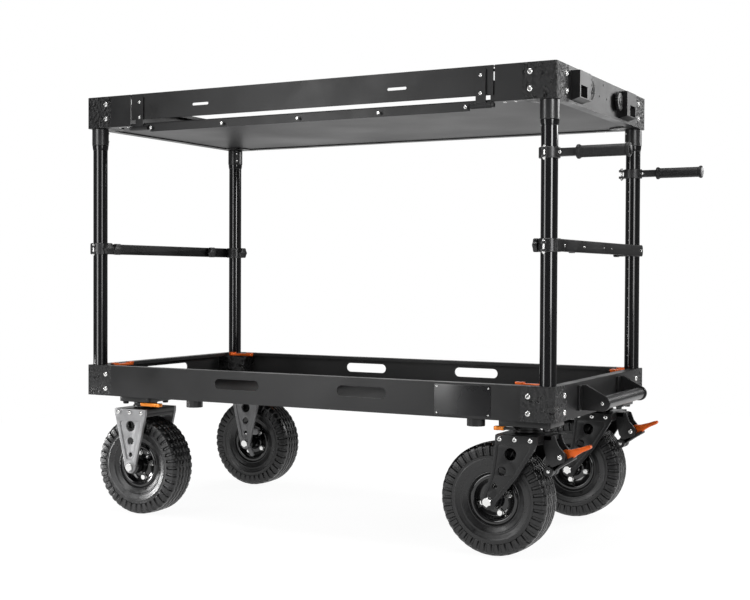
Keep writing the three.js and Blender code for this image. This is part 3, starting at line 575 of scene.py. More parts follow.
# Forks. Sizes about the kingpin, in millimetres, z from the floor
PLATE_INSIDE = 58.0
PLATE_OUTSIDE = 66.0
CROWN_TOP = 284.0
CROWN_HALF = 51.0
CROWN_LOW = CROWN_TOP - 12
TRAIL = 67.0
BASE_BOTTOM = 301
BASE_HALF = 50
BASE_BOLT = 37
BASE_OUTWARD = 24
KINGPIN_RADIUS = 12
KINGPIN_TOP = 304
# Side plates: outlines in the xz plane, holes as (x, z, radius)
LEFT_OUTLINE = [
    (-CROWN_HALF, CROWN_TOP - 0.2), (-CROWN_HALF, CROWN_LOW - 0.2),
    *arc(0, AXLE_HEIGHT, 16.5, 188, 352, 18),
    (CROWN_HALF, CROWN_LOW - 0.2), (CROWN_HALF, CROWN_TOP - 0.2),
]
LEFT_HOLES = ((0, 238.3, 14), (0, 198.7, 10), (0, 162.5, 6))
LEFT_RELIEF = [(-36, 252), (-11, AXLE_HEIGHT + 19), (11, AXLE_HEIGHT + 19), (36, 252)]
LEFT_BOLTS = (-38, 0, 38)
RIGHT_OUTLINE = [
    (-CROWN_HALF + 2, CROWN_TOP - 0.2), (-CROWN_HALF, 255), (-60, 190), (-81, 141), (-82, 124),
    (-67, 110), (-51, 116), (-45, 131), (4, 190), (39, 247), (CROWN_HALF, 268),
    (CROWN_HALF, CROWN_TOP - 0.2),
]
RIGHT_ROUNDS = [2, 3, 14, 8, 14, 15, 14, 8, 10, 6, 4, 2]
RIGHT_RELIEF = [
    (-CROWN_HALF + 8, 262), (-CROWN_HALF + 8, 252), (-52, 190), (-70, 146), (-62, 132), (-52, 138),
    (-5, 194), (30, 250), (34, 262),
]
RIGHT_HOLES = ((-13, 241, 14), (-33, 202, 10), (-50, 168, 6))
RIGHT_BOLTS = (-38, -2, 35)
HOOKS = (
    rounded([(8, 158), (39, 158), (47, 166), (43, 176), (26, 176), (20, 184), (8, 184)], 4),
    rounded([(2, 118), (20, 92), (30, 94), (28, 106), (15, 126)], 4),
)
# The brake's pivot from the kingpin; its roller's axle and the handle's tilt, from the pivot
BRAKE_X = 88
BRAKE_Z = 236
BRAKE_CHEEK = (18, 23)
ROLLER_X = -28
ROLLER_Z = -34
HANDLE_TILT = 22
# Release tabs: place aside of the kingpin, height, and length of the cap on each end
TAB_ASIDE = 43
TAB_LOW = 291.2
TAB_HIGH = 300.2
TAB_CAPS = {-1: 62, 1: 25}


def base_plate(solid, outward, tab_corner):
    """The plate under the rails; the bolt over the release tab is countersunk."""
    half = BASE_HALF
    loop = rectangle(-half, half + outward, -half, half)
    solid.plate([rounded(loop, 9)], BASE_BOTTOM, LOWER_BOTTOM - 0.2, bevel=1.2)
    for a in (-BASE_BOLT, BASE_BOLT + outward):
        for b in (-BASE_BOLT, BASE_BOLT):
            at = (a, b, BASE_BOTTOM)
            if a * tab_corner[0] > 0 and b * tab_corner[1] > 0:
                sunk = [(7, 0), (6.4, 0.3), (3.2, 0.3), (0, 0.2)]
                solid.lathe(sunk, facing(DOWN, at), steps=30)
            else:
                hexagon(solid, at, DOWN, 13, 5.5, washer=17)


def swivel_boss(solid, low):
    top = BASE_BOTTOM + 0.5
    profile = [
        (0, low), (24, low), (29, low + 1.5), (33, low + 3), (33, low + 7), (30.5, low + 8),
        (30.5, top - 4.5), (33, top - 4), (33, top), (0, top),
    ]
    solid.lathe(profile, steps=64)


def crown(solid):
    """The crown plate between the fork's side plates, with its bent down edges."""
    x, y = CROWN_HALF - 1, PLATE_INSIDE - 0.2
    solid.plate([rounded(rectangle(-x, x, -y, y), 3)], CROWN_LOW, CROWN_TOP, bevel=1.0)
    for side in (-1, 1):
        x = side * (CROWN_HALF - 7)
        y = PLATE_INSIDE - 0.4
        solid.box(x - 4, x + 4, -y, y, CROWN_TOP - 21, CROWN_TOP - 11, 1.0)


def fork_bolts(solid, places, axle_x):
    for side in (-1, 1):
        for a in places:
            button(solid, (a, side * PLATE_OUTSIDE, CROWN_TOP - 9.5), (0, side, 0), 12.5, 5)
        at = (axle_x, side * (PLATE_OUTSIDE - 2), AXLE_HEIGHT)
        hexagon(solid, at, (0, side, 0), 20, 7.5, washer=24)


def side_plates(solid, outline, relief, holes, face, border, bevel):
    """Both side plates, each with a raised border; face and border are depths below its top."""
    top = PLATE_OUTSIDE
    for side in (-1, 1):
        loops = [outline] + [circle(*hole) for hole in holes]
        solid.plate(loops, PLATE_INSIDE, top - face, xz(side), bevel=0.8)
        solid.plate([outline, relief], top - border, top, xz(side), bevel=bevel)


def left_fork(where, sx, sy, cx, cy):
    """A rigid fork: grey side plates with a raised border, crown and base in one, bolts."""
    body = "lower_frame"
    at = place(cx, cy, 0)
    plates = Solid()
    side_plates(plates, LEFT_OUTLINE, rounded(LEFT_RELIEF, 9, 7), LEFT_HOLES, 2, 2.6, 0.8)
    for hook in HOOKS:
        plates.plate([hook], PLATE_INSIDE + 0.4, PLATE_OUTSIDE - 2.4, xz(-sy), bevel=0.8)
    piece(f"fork_{where}_plates", plates, GREY, body, "fork_grey", at, f"fork_{where}")
    dark = Solid()
    crown(dark)
    base_plate(dark, 0, (-sx, sy))
    swivel_boss(dark, CROWN_TOP - 1)
    piece(f"fork_{where}_crown", dark, DARK, body, "fork_black", at)
    bolts = Solid()
    fork_bolts(bolts, LEFT_BOLTS, 0.0)
    steel_piece(f"fork_{where}_bolts", bolts, body, at)


def right_fork(where, sx, sy, cx, cy):
    """A swivel fork with trail and the bracket for its brake, its kingpin, bolts and base."""
    body = f"swivel_{where}"
    at = place(cx, cy, 0)
    plates = Solid()
    outline = rounded(RIGHT_OUTLINE, RIGHT_ROUNDS)
    side_plates(plates, outline, rounded(RIGHT_RELIEF, 8), RIGHT_HOLES, 1.6, 2.4, 0.7)
    crown(plates)
    arm = rounded(rectangle(CROWN_HALF - 6, 72, -23, 23), 4)
    plates.plate([arm], CROWN_LOW, CROWN_TOP, bevel=1.0)
    cheek = [
        (50, CROWN_TOP - 1), (76, CROWN_TOP - 1), (84, 262), (101, 243), (99, 227), (88, 221),
        (68, 212), (57, 226), (50, 256),
    ]
    for side in (-1, 1):
        plates.plate([rounded(cheek, 5)], *BRAKE_CHEEK, xz(side), bevel=0.7)
    piece(f"fork_{where}_plates", plates, DARK, body, "fork_black", at, f"fork_{where}")
    pin = Solid()
    r = KINGPIN_RADIUS
    pin.lathe([(0, CROWN_LOW), (r, CROWN_LOW), (r, KINGPIN_TOP - 0.5), (0, KINGPIN_TOP)], steps=32)
    steel_piece(f"fork_{where}_kingpin", pin, body, at)
    bolts = Solid()
    fork_bolts(bolts, RIGHT_BOLTS, -TRAIL)
    for side in (-1, 1):
        button(bolts, (BRAKE_X, side * BRAKE_CHEEK[1], BRAKE_Z), (0, side, 0), 13, 4.5)
    steel_piece(f"fork_{where}_bolts", bolts, body, at)
    base = Solid()
    base_plate(base, BASE_OUTWARD, (-sx, sy))
    swivel_boss(base, CROWN_TOP + 0.4)
    node = f"caster_base_{where}"
    piece(f"{node}_plate", base, DARK, "lower_frame", "frame_black", at, node)


def brake_lever(where, cx, cy):
    body = f"brake_{where}"
    node = f"brake_lever_{where}"
    at = place(cx + BRAKE_X, cy, BRAKE_Z)
    handle = Solid()
    tilt = math.radians(HANDLE_TILT)
    c, s = math.cos(tilt), math.sin(tilt)
    shape = [
        (9, -13), (22, -12), (32, -8), (46, -5.5), (63, -4.6), (69, -3.4), (71, 0), (69, 4), (63, 5),
        (46, 5.6), (24, 8), (9, 13), (3, 10), (3, -9),
    ]
    turned = [(a * c - b * s, a * s + b * c) for a, b in shape]
    handle.plate([rounded(turned, 3)], -7, 7, XZ, bevel=1.6, steps=3)
    piece(f"{node}_handle", handle, ORANGE, body, "orange", at, node)
    works = Solid()
    cheek = link(0, 0, 13, -27, -31, 9)
    for side in (-1, 1):
        works.plate([cheek], 9.5, 15, xz(side), bevel=0.7)
    works.lathe(mirrored([(0, 17.5), (9, 17.5)]), AXIS_Y, steps=32)
    web = rounded([(-16, -34), (4, -20), (28, -5), (26, 2), (2, -10), (-20, -24)], 3)
    works.plate([web], -15, 15, XZ, bevel=0.8)
    piece(f"{node}_link", works, DARK, body, "fork_black", at)
    roller = Solid()
    profile = mirrored([(0, 22), (10.6, 22), (11.7, 20.6), (11.7, 8), (10.2, 7)])
    roller.lathe(profile, move(ROLLER_X, 0, ROLLER_Z) @ AXIS_Y, steps=40)
    piece(f"{node}_roller", roller, PLASTIC, body, "knob_black", at)
    axle_ends = Solid()
    for side in (-1, 1):
        button(axle_ends, (ROLLER_X, side * 22, ROLLER_Z), (0, side, 0), 8, 1)
    steel_piece(f"{node}_axle", axle_ends, body, at)


def release_tab(where, sx, sy, cx, cy):
    """A dark blade under the base plate, with an amber cap on its far end."""
    body = f"tab_{where}"
    node = f"release_tab_{where}"
    at = place(cx, cy + sy * TAB_ASIDE, 0)
    low, high = span(node)
    reach = max(abs(low[0] - cx), abs(high[0] - cx))
    way = -sx
    start = reach - TAB_CAPS[sx]
    blade = Solid()
    blade.box(*sorted((way * 7, way * (start + 6))), -7, 7, TAB_LOW + 2, TAB_HIGH - 1, 0.8)
    piece(f"{node}_blade", blade, DARK, body, "fork_black", at, node)
    half = ((start, 7.5), (reach - 20, 7.5), (reach - 14, 5.5), (reach - 9, 8.5), (reach, 7))
    outline = mirrored([(way * a, b) for a, b in half])
    cap = Solid()
    loop = rounded(outline if way > 0 else outline[::-1], 2)
    cap.plate([loop], TAB_LOW, TAB_HIGH, bevel=1.2, steps=3)
    piece(f"{node}_cap", cap, AMBER, body, "orange", at)


for where, sx, sy in CORNERS:
    cx, cy = middle(f"rim_{where}")[:2]
    if sx > 0:
        cx += TRAIL
        right_fork(where, sx, sy, cx, cy)
        brake_lever(where, cx, cy)
    else:
        left_fork(where, sx, sy, cx, cy)
    release_tab(where, sx, sy, cx, cy)


# Posts with their collars
POST_LOW, POST_HIGH = span("post_front_left")
POST_RADIUS = 19.0
COLLAR_BOTTOM = UPPER_BOTTOM - 43
# Index marks up the side of each post: lowest, highest and step
MARKS_FROM = LOWER_TOP + 34
MARKS_TO = UPPER_BOTTOM - 70
MARK_STEP = 25.4
COLLAR_SCREWS = (UPPER_BOTTOM - 11, UPPER_BOTTOM - 33)
COLLAR_SCREW_OUT = 21.7


def post_mesh():
    foot, top = POST_LOW[2], POST_HIGH[2]
    low = COLLAR_BOTTOM
    tube = Solid()
    profile = [
        (0, foot), (POST_RADIUS - 1, foot), (POST_RADIUS, foot + 1), (POST_RADIUS, low - 14.5),
        (19.6, low - 14), (20.6, low - 9), (21.2, low - 2), (18.5, low - 1), (18.5, top - 1),
        (18, top), (0, top),
    ]
    tube.lathe(profile, steps=64)
    collar = Solid()
    high = UPPER_BOTTOM - 0.4
    profile = [(18.6, low - 1), (21.3, low - 1), (21.9, low), (21.9, high - 0.8)]
    profile += [(21.0, high), (18.6, high)]
    collar.lathe(profile, steps=64, wrap=True)
    return tube.mesh("post", 30), collar.mesh("collar", 30)


def index_marks(way_x, way_y):
    """Small pale dots down one side of a post, at even steps."""
    solid = Solid()
    normal = Vector((way_x, way_y, 0)).normalized()
    z = MARKS_FROM
    while z < MARKS_TO:
        at = (normal.x * POST_RADIUS, normal.y * POST_RADIUS, z)
        solid.lathe([(1.5, -0.3), (1.5, 0.25), (0, 0.3)], facing(normal, at), steps=10)
        z += MARK_STEP
    return solid


POST_MESH, COLLAR_MESH = post_mesh()
for where, sx, sy in CORNERS:
    body = "upper_frame"
    x, y, _ = middle(f"post_{where}")
    at = place(x, y, 0)
    piece(f"post_{where}_tube", POST_MESH, GLOSS, body, "post_gloss", at, f"post_{where}")
    piece(f"post_{where}_collar", COLLAR_MESH, COLLAR, body, "post_gloss", at)
    piece(f"post_{where}_marks", index_marks(-sx * 0.25, -sy), PALE, body, "bright_steel", at)
    screws = Solid()
    inward = Vector((-sx, -sy, 0)).normalized()
    for z in COLLAR_SCREWS:
        face = inward * COLLAR_SCREW_OUT
        button(screws, (face.x, face.y, z), inward, 5.5, 1.6)
    steel_piece(f"post_{where}_screws", screws, body, at)


# Post latches: flat levers with a waist, on a round hub over a pin
LATCH_LOW, LATCH_HIGH = span("post_latch_back_left")
LATCH_HUB = 11
LATCH_REACH = LATCH_HIGH[0] - LATCH_LOW[0] - LATCH_HUB
# Place of each pin from the frame's end and from its middle, and the way each lever points
LATCH_IN = 42
LATCH_ASIDE = 278
LATCH_TURNS = {"front_left": 90, "back_left": 0, "front_right": 180, "back_right": -90}


def latch_mesh():
    solid = Solid()
    foot, top = LATCH_LOW[2], LATCH_HIGH[2]
    reach = LATCH_REACH
    neck = reach - 26
    lever = mirrored([(16, 8), (neck, 5.5), (neck + 8, 7.5), (reach - 5, 7), (reach, 2)])
    solid.plate([arc(0, 0, LATCH_HUB, 60, 300, 16) + lever], top - 9.7, top - 3, bevel=1.2, steps=3)
    hub = [
        (0, foot), (5, foot), (5, top - 5), (10.8, top - 5), (10.8, top - 0.8), (10, top), (4, top),
        (3.6, top - 1.4), (0, top - 1.4),
    ]
    solid.lathe(hub, steps=32)
    tip = mirrored([(neck + 4, 7), (reach, 6.4)])
    solid.plate([rounded(tip, 3)], top - 6, top, bevel=1.2, steps=3)
    return solid.mesh("latch")


LATCH = latch_mesh()
for where, sx, sy in CORNERS:
    at = place(frame_end(sx) - sx * LATCH_IN, CENTRE_Y + sy * LATCH_ASIDE, 0, LATCH_TURNS[where])
    node = f"post_latch_{where}"
    piece(f"{node}_lever", LATCH, ORANGE, f"latch_{where}", "orange", at, node)


# Push handles
HANDLE_Z = middle("push_handle_front")[2]
HANDLE_REACH = span("push_handle_front")[1][0] - middle("post_front_right")[0]
GRIP_RIBS = 26
RING_RADIUS = 24


def clamp_ring(solid, half):
    """A ring round a post."""
    bore = POST_RADIUS + 0.35
    r = RING_RADIUS
    upper = [(bore, half - 0.4), (bore + 0.4, half), (r - 1.2, half), (r, half - 1.2)]
    solid.lathe(mirrored(upper), steps=64, wrap=True)


def push_handle_meshes():
    low, high = HANDLE_REACH - 121, HANDLE_REACH - 3
    arm = Solid()
    clamp_ring(arm, 12)
    bar = mirrored([(20.5, 9), (32, 8), (low + 4, 8)])
    arm.plate([rounded(bar, 2)], -9, 9, bevel=1.6, steps=3)
    grip = Solid()
    profile = [
        (0, low), (14.6, low), (15.9, low + 1.4), (15.9, low + 5), (14.6, low + 7), (13.2, low + 8.5),
    ]
    step = (high - low - 18) / GRIP_RIBS
    rib = ((12.7, 0.1), (13.2, 0.3), (13.2, 0.7), (12.7, 0.9))
    for k in range(GRIP_RIBS):
        a = low + 9 + step * k
        profile += [(r, a + step * t) for r, t in rib]
    profile += [(13.2, high - 8.5), (14.6, high - 7), (15.9, high - 5), (15.9, high - 1.2)]
    grip.lathe(profile + [(15.0, high), (0, high)], AXIS_X)
    plug = Solid()
    profile = ((0, -1), (11.5, -1), (11.5, 0.6), (9.5, 1.6), (7.2, 2.8), (0, 2.8))
    plug.lathe([(r, high + t) for r, t in profile], AXIS_X, steps=40)
    screws = Solid()
    for side in (-1, 1):
        button(screws, (27, side * 8.6, 0), (0, side, 0), 8, 2)
    return arm.mesh("arm"), grip.mesh("grip", 50), plug.mesh("plug"), screws.mesh("screws")


def jaw_mesh(reach, width):
    """The two ears of a clamp, above and below its pin, towards -y."""
    solid = Solid()
    ears = rectangle(-width, width, -reach, -19.5)
    for low, high in ((5.5, 11.5), (-11.5, -5.5)):
        solid.plate([rounded(ears, [4, 4, 0, 0])], low, high, bevel=0.8)
    return solid.mesh("jaw")


def pin_mesh():
    solid = Solid()
    profile = [
        (0, -17), (1.2, -17), (4.4, -12.8), (4.4, -11.5), (2.4, -11.5), (2.4, 11.5), (3.8, 11.8),
        (3.8, 14.6), (3.2, 15.4), (0, 15.4),
    ]
    solid.lathe(profile, steps=24)
    return solid.mesh("pin")


ARM, GRIP_MESH, PLUG, ARM_SCREWS = push_handle_meshes()
SHORT_JAW = jaw_mesh(29, 7)
LONG_JAW = jaw_mesh(37, 8)
PIN = pin_mesh()
# Place of the short jaw beside its post, and of both pins out from it
JAW_ASIDE = -3.4
PIN_OUT = 24.3
LONG_PIN_OUT = 30.5


def front_jaw(name, body, x, y, z):
    """Ears and pin on the front of a post."""
    piece(f"{name}_jaw", SHORT_JAW, CLAMP, body, "handle_black", place(x + JAW_ASIDE, y, z))
    steel_piece(f"{name}_pin", PIN, body, place(x + JAW_ASIDE, y - PIN_OUT, z))


for side, sy in SIDES:
    x, y, _ = middle(f"post_{side}_right")
    at = place(x, y, HANDLE_Z)
    body = f"handle_{side}"
    name = f"push_handle_{side}"
    piece(f"{name}_arm", ARM, CLAMP, body, "handle_black", at, name)
    piece(f"{name}_grip", GRIP_MESH, GRIP, body, "handle_black", at)
    # Both handles carry the same pale grey plug; on the front handle it is drawn in matt black as
    # painted shade
    plug = (PLUG, PALE, body, "bright_steel") if sy > 0 else (PLUG.copy(), MATT, body, "handle_black")
    piece(f"{name}_plug", *plug, at)
    steel_piece(f"{name}_screws", ARM_SCREWS, body, at)
    if sy < 0:
        front_jaw(name, body, x, y, HANDLE_Z)
    else:
        piece(f"{name}_jaw", LONG_JAW, CLAMP, body, "handle_black", place(x, y, HANDLE_Z, -90))
        steel_piece(f"{name}_pin", PIN, body, place(x - LONG_PIN_OUT, y, HANDLE_Z))


# Crossbars with their clamps and knobs
CROSS_Z = middle("crossbar_left")[2]
POST_Y = middle("post_back_left")[1] - CENTRE_Y
# Ends of each slat along y, and its knobs as (place along y, height below its middle)
SLATS = {"left": (-318, 300), "right": (-322, 333)}
SLAT_KNOBS = {"left": ((-238, 0), (203, 0)), "right": ((-186, 0), (152, 4))}
SLAT_HALF = 14
SLAT_THICKNESS = 8
# Inner face of each slat, from the posts' axes
SLAT_STARTS = {"left": -24, "right": 16}
# Small screws on the right slat: place along y and diameter
SLAT_SCREWS = ((-279, 7), (-150, 4.5), (-142, 4.5), (0, 3), (63, 3), (318, 6))
KNOB_RADIUS = 15.6
KNOB_LOBES = 6
# Depth of the front jaws below the middle of a crossbar
JAW_DROP = 3


def slat(end):
    """The flat bar of a crossbar, on the outer side of the posts or just inside them."""
    solid = Solid()
    low, high = SLATS[end]
    loop = rounded(rectangle(low, high, -SLAT_HALF, SLAT_HALF), [3, 10, 10, 3], 8)
    start = SLAT_STARTS[end]
    solid.plate([loop], start, start + SLAT_THICKNESS, YZ, bevel=0.9)
    return solid


def slat_screws():
    solid = Solid()
    for y, diameter in SLAT_SCREWS:
        button(solid, (SLAT_STARTS["right"] + SLAT_THICKNESS, y, 0), (1, 0, 0), diameter, 0.8)
    return solid


def cross_clamp_mesh():
    """The ring of a crossbar round a post and the pad behind its slat, for the left end."""
    solid = Solid()
    clamp_ring(solid, 15)
    solid.plate([rounded(rectangle(-14, 14, -15, 15), 4)], -23.5, -19.6, YZ, bevel=0.6)
    return solid.mesh("clamp")


def lobed(radius, wave, lobes, points):
    """A round outline with waves."""
    loop = []
    for k in range(points):
        angle = 2 * math.pi * k / points
        r = radius + wave * math.cos(lobes * angle)
        loop.append((r * math.cos(angle), r * math.sin(angle)))
    return loop


def knob_mesh(start, stem):
    """A six-lobed knob on a short stem, along x."""
    solid = Solid()
    face = start + stem
    profile = [(0, start), (6, start), (6, face - 1), (9, face), (9, face + 1), (0, face + 1)]
    solid.lathe(profile, AXIS_X, steps=32)
    loop = lobed(KNOB_RADIUS, 1.2, KNOB_LOBES, 60)
    solid.plate([loop], face + 0.4, face + 11.4, YZ, bevel=1.6, steps=3)
    return solid.mesh("knob")


CROSS_CLAMP = cross_clamp_mesh()
CLAMP_KNOB = knob_mesh(20, 2.4)
SLAT_KNOB = knob_mesh(-16.4, 2.6)
for end, sx in ENDS:
    x = middle(f"post_front_{end}")[0]
    turn = 0 if sx < 0 else 180
    body = f"crossbar_body_{end}"
    at = place(x, CENTRE_Y, CROSS_Z)
    piece(f"crossbar_{end}_slat", slat(end), MATT, body, "frame_black", at, f"crossbar_{end}")
    if sx > 0:
        steel_piece(f"crossbar_{end}_screws", slat_screws(), body, at)
    for (side, sy), (knob_y, drop) in zip(SIDES, SLAT_KNOBS[end]):
        where = f"{side}_{end}"
        at = place(x, CENTRE_Y + sy * POST_Y, CROSS_Z, turn)
        node = f"crossbar_knob_{where}"
        piece(f"crossbar_{where}_clamp", CROSS_CLAMP, CLAMP, body, "handle_black", at)
        piece(f"{node}_grip", CLAMP_KNOB, PLASTIC, f"clamp_knob_{where}", "knob_black", at, node)
        at = place(x, CENTRE_Y + knob_y, CROSS_Z - drop, turn)
        piece(f"slat_knob_{where}", SLAT_KNOB, PLASTIC, body, "knob_black", at)
    front_jaw(f"crossbar_{end}", body, x, CENTRE_Y - POST_Y, CROSS_Z - JAW_DROP)


# Push bar: tube, brackets on flanges and their bolts as (side, place inwards, height)
BAR_LOW, BAR_HIGH = span("push_bar")
BAR_Y = (BAR_LOW[1] + BAR_HIGH[1]) / 2 - CENTRE_Y
BAR_OUT = 52.5
BAR_Z = 348
BAR_HALF = 144
BRACKET_OUTSIDE = 151
BRACKET_LOW = 330
BRACKET_HIGH = 389
FLANGE_ASIDE = 147
FLANGE_HALF = 22
FLANGE = 5
BAR_BOLTS = ((-1, 0, 379), (-1, 8, 337), (1, -1.5, 379), (1, 8, 337))


def push_bar():
    tube = Solid()
    x = FRAME_RIGHT + BAR_OUT
    tube.lathe(mirrored([(0, BAR_HALF), (15, BAR_HALF)]), move(x, BAR_Y, BAR_Z) @ AXIS_Y)
    piece("push_bar_tube", tube, COLLAR, "lower_frame", "frame_black", node="push_bar")
    plates = Solid()
    bolts = Solid()
    foot = FRAME_RIGHT + 0.2
    low, high = BRACKET_LOW, BRACKET_HIGH
    for side in (-1, 1):
        shape = [(0, low), (12, low)] + arc(BAR_OUT, BAR_Z, 18, -92, 55, 14) + [(14, high), (0, high)]
        outer = BAR_Y + side * BRACKET_OUTSIDE
        plates.plate([shape], *sorted((outer, outer - side * 8)), move(foot, 0, 0) @ XZ, bevel=0.9)
        near, far = (BAR_Y + side * FLANGE_ASIDE + step for step in (-FLANGE_HALF, FLANGE_HALF))
        flange = rounded(rectangle(near, far, low, high), 4)
        plates.plate([flange], foot, foot + FLANGE, YZ, bevel=0.8)
        button(bolts, (x, outer, BAR_Z), (0, side, 0), 9, 1.2)
    for side, aside, z in BAR_BOLTS:
        button(bolts, (foot + FLANGE, BAR_Y + side * (FLANGE_ASIDE - aside), z), (1, 0, 0), 8, 2.5)
    piece("push_bar_brackets", plates, DARK, "lower_frame", "frame_black")
    steel_piece("push_bar_bolts", bolts, "lower_frame")


push_bar()


# Hand wheels of the receivers, knurled round the rim
def hand_wheel_mesh():
    solid = Solid()
    solid.plate([lobed(22.2, 0.8, 20, 120)], 4, 12.6, YZ, bevel=1.0)
    stem = [(0, -11.5), (5, -11.5), (5, 3.6), (11, 3.6), (11, 13), (9.6, 13.9), (4, 13.9)]
    solid.lathe(stem + [(3.6, 12), (0, 12)], AXIS_X, steps=40)
    return solid.mesh("hand_wheel")


HAND_WHEEL = hand_wheel_mesh()
for side, _ in SIDES:
    node = f"hand_wheel_{side}"
    _, y, z = middle(node)
    at = place(FRAME_RIGHT, y, z)
    piece(f"{node}_knurl", HAND_WHEEL, MATT, f"hand_wheel_body_{side}", "knob_black", at, node)


# Screws of the castings and rails, hinge heads and the keeper behind the gate's gap
LOWER_SCREWS = (335, 373)
UPPER_SCREWS = (1050, 1088)
SIDE_SCREW_IN = 62
END_SCREW_IN = 64
CASTING_SCREW = (13.5, 3.4)
# Under the upper deck, from the casting along the rail and from the rail's face
FLANGE_SCREWS = (100, 126)
FLANGE_SCREW_IN = 14
STRIP_SCREW = 445
STRIP_SCREW_Z = 1018.5
STRAP_X = 482
STRAP_SCREWS = (1047, 1087)
STRAP_FACE = 4
HINGE_END = 507.6
HINGE_DROP = 7
KEEPER = (503, 518)
KEEPER_HEIGHTS = ((1029, 1074.7), (1094.7, 1101))


def fasteners():
    lower = Solid()
    upper = Solid()
    for _, sx, sy in CORNERS:
        edge = frame_end(sx)
        x, y = edge - sx * SIDE_SCREW_IN, sy * (HALF_WIDTH - END_SCREW_IN)
        for solid, heights in ((lower, LOWER_SCREWS), (upper, UPPER_SCREWS)):
            for z in heights:
                button(solid, (x, sy * HALF_WIDTH, z), (0, sy, 0), *CASTING_SCREW)
                if sx > 0:
                    button(solid, (edge, y, z), (1, 0, 0), *CASTING_SCREW)
        for step in FLANGE_SCREWS:
            at = (edge - sx * step, sy * (HALF_WIDTH - FLANGE_SCREW_IN), UPPER_BOTTOM)
            button(upper, at, DOWN, 8, 2.2)
    front = -HALF_WIDTH - STRAP_FACE
    for k in (-1, -0.5, 0, 0.5, 1):
        button(upper, (FRAME_MIDDLE + k * STRIP_SCREW, front, STRIP_SCREW_Z), FORWARD, 8.5, 2.2)
    steel_piece("lower_screws", lower, "lower_frame")
    steel_piece("upper_screws", upper, "upper_frame")
    gate = Solid()
    heads = Solid()
    for way in (-1, 1):
        for z in STRAP_SCREWS:
            button(gate, (FRAME_MIDDLE + way * STRAP_X, front, z), FORWARD, 8.5, 2.4)
        pin_end = (FRAME_MIDDLE + way * HINGE_END, -HALF_WIDTH, UPPER_BOTTOM - HINGE_DROP)
        profile = [(0, 0), (5.2, 0), (5.8, 0.8), (5.8, 5.0), (4.8, 6.2), (0, 6.6)]
        heads.lathe(profile, facing((way, 0, 0), pin_end))
    steel_piece("gate_front_screws", gate, "gate_body_front")
    piece("hinge_heads", heads, DARK, "upper_frame", "frame_black")
    keeper = Solid()
    x0, x1 = (FRAME_MIDDLE + x for x in KEEPER)
    for low, high in KEEPER_HEIGHTS:
        keeper.box(x0, x1, -HALF_WIDTH + 3.4, -HALF_WIDTH + 6, low, high, 0.4)
    piece("gate_keeper", keeper, BLACK, "upper_frame", "frame_black")


# The bare nameplate: place of its middle, its half size and its rivets
NAMEPLATE_X = 440
NAMEPLATE_Z = LOWER_BOTTOM + 40
NAMEPLATE_HALF = (70, 36)
RIVETS = (64, 30)


def nameplate():
    x, z = FRAME_MIDDLE + NAMEPLATE_X, NAMEPLATE_Z
    front = -HALF_WIDTH - 0.9
    solid = Solid()
    a, b = NAMEPLATE_HALF
    loop = rounded(rectangle(x - a, x + a, z - b, z + b), 4)
    solid.plate([loop], front, -HALF_WIDTH + 0.2, XZ, bevel=0.3)
    piece("nameplate", solid, PLATE, "lower_frame", "frame_black")
    rivets = Solid()
    for a in (-RIVETS[0], RIVETS[0]):
        for b in (-RIVETS[1], RIVETS[1]):
            button(rivets, (x + a, front, z + b), FORWARD, 4.4, 1.2)
    steel_piece("nameplate_rivets", rivets, "lower_frame")


# The triangle of a filler, from the frame's corner
FILLER = ((82, 52), (82, 82), (52, 82))
FILLER_HEIGHTS = (3.2, 5.8)


def deck_corners(name, bottom, material, body, slot):
    """Small fillers between each casting's slanted inner corner and the square notch of a deck."""
    solid = Solid()
    low, high = (bottom + z for z in FILLER_HEIGHTS)
    for _, sx, sy in CORNERS:
        loop = [(frame_end(sx) - sx * a, sy * (HALF_WIDTH - b)) for a, b in FILLER]
        solid.plate([loop if sx * sy > 0 else loop[::-1]], low, high, bevel=0.2)
    piece(name, solid, material, body, slot)


fasteners()
nameplate()
deck_corners("lower_deck_corners", LOWER_BOTTOM, DECK_TOP, "lower_frame", "deck_black")
deck_corners("upper_deck_corners", UPPER_BOTTOM, DECK_UNDER, "upper_frame", "deck_grey")


# Floor, backdrop and light, in metres
FLOOR = rectangle(-2.4, 2.0, -1.9, 2.9)
FLOOR_COLOR = (0.82, 0.82, 0.82, 1)
WHITE = (1, 1, 1, 1)
# Glow of the floor where it is seen, and its share of the shading
GLOW_STRENGTH = 1.12
FLOOR_GLOW = 0.84
# Middle of the backdrop, angles from it where its edge starts and ends, light beyond
BACKDROP_WAY = (-0.473, 0.881, 0.0)
BACKDROP_EDGE = (21, 25)
ROOM_LEVEL = 0.14
# Name, place, what it looks at, width, height, power and spread in degrees
LAMPS = (
    ("left_box", (-0.95, -2.0, 0.95), (-0.05, -0.3, 0.8), 0.7, 1.6, 17, 180),
    ("left_low", (-1.9, -0.95, 0.17), (-0.6, -0.27, 0.05), 0.3, 0.3, 0.45, 22),
    ("right_strip", (4.2, -2.75, 1.1), (0.2, 0, 0.7), 1.0, 2.4, 20, 180),
    ("right_near", (1.85, -1.35, 1.05), (0.56, -0.31, 0.8), 0.5, 1.1, 1.3, 50),
    ("back_box", (2.6, 2.6, 1.9), (0.3, 0, 0.9), 1.9, 1.1, 56, 180),
    ("top_box", (0, -0.2, 3.4), (0, 0, 0), 2.4, 1.8, 80, 180),
)


def seen_directly(tree):
    """One for camera, glossy and transmission rays, zero for the rest."""
    path = add(tree, "LightPath").outputs
    first = compute(tree, "MAXIMUM", path["Is Camera Ray"], path["Is Glossy Ray"])
    return compute(tree, "MAXIMUM", first, path["Is Transmission Ray"])


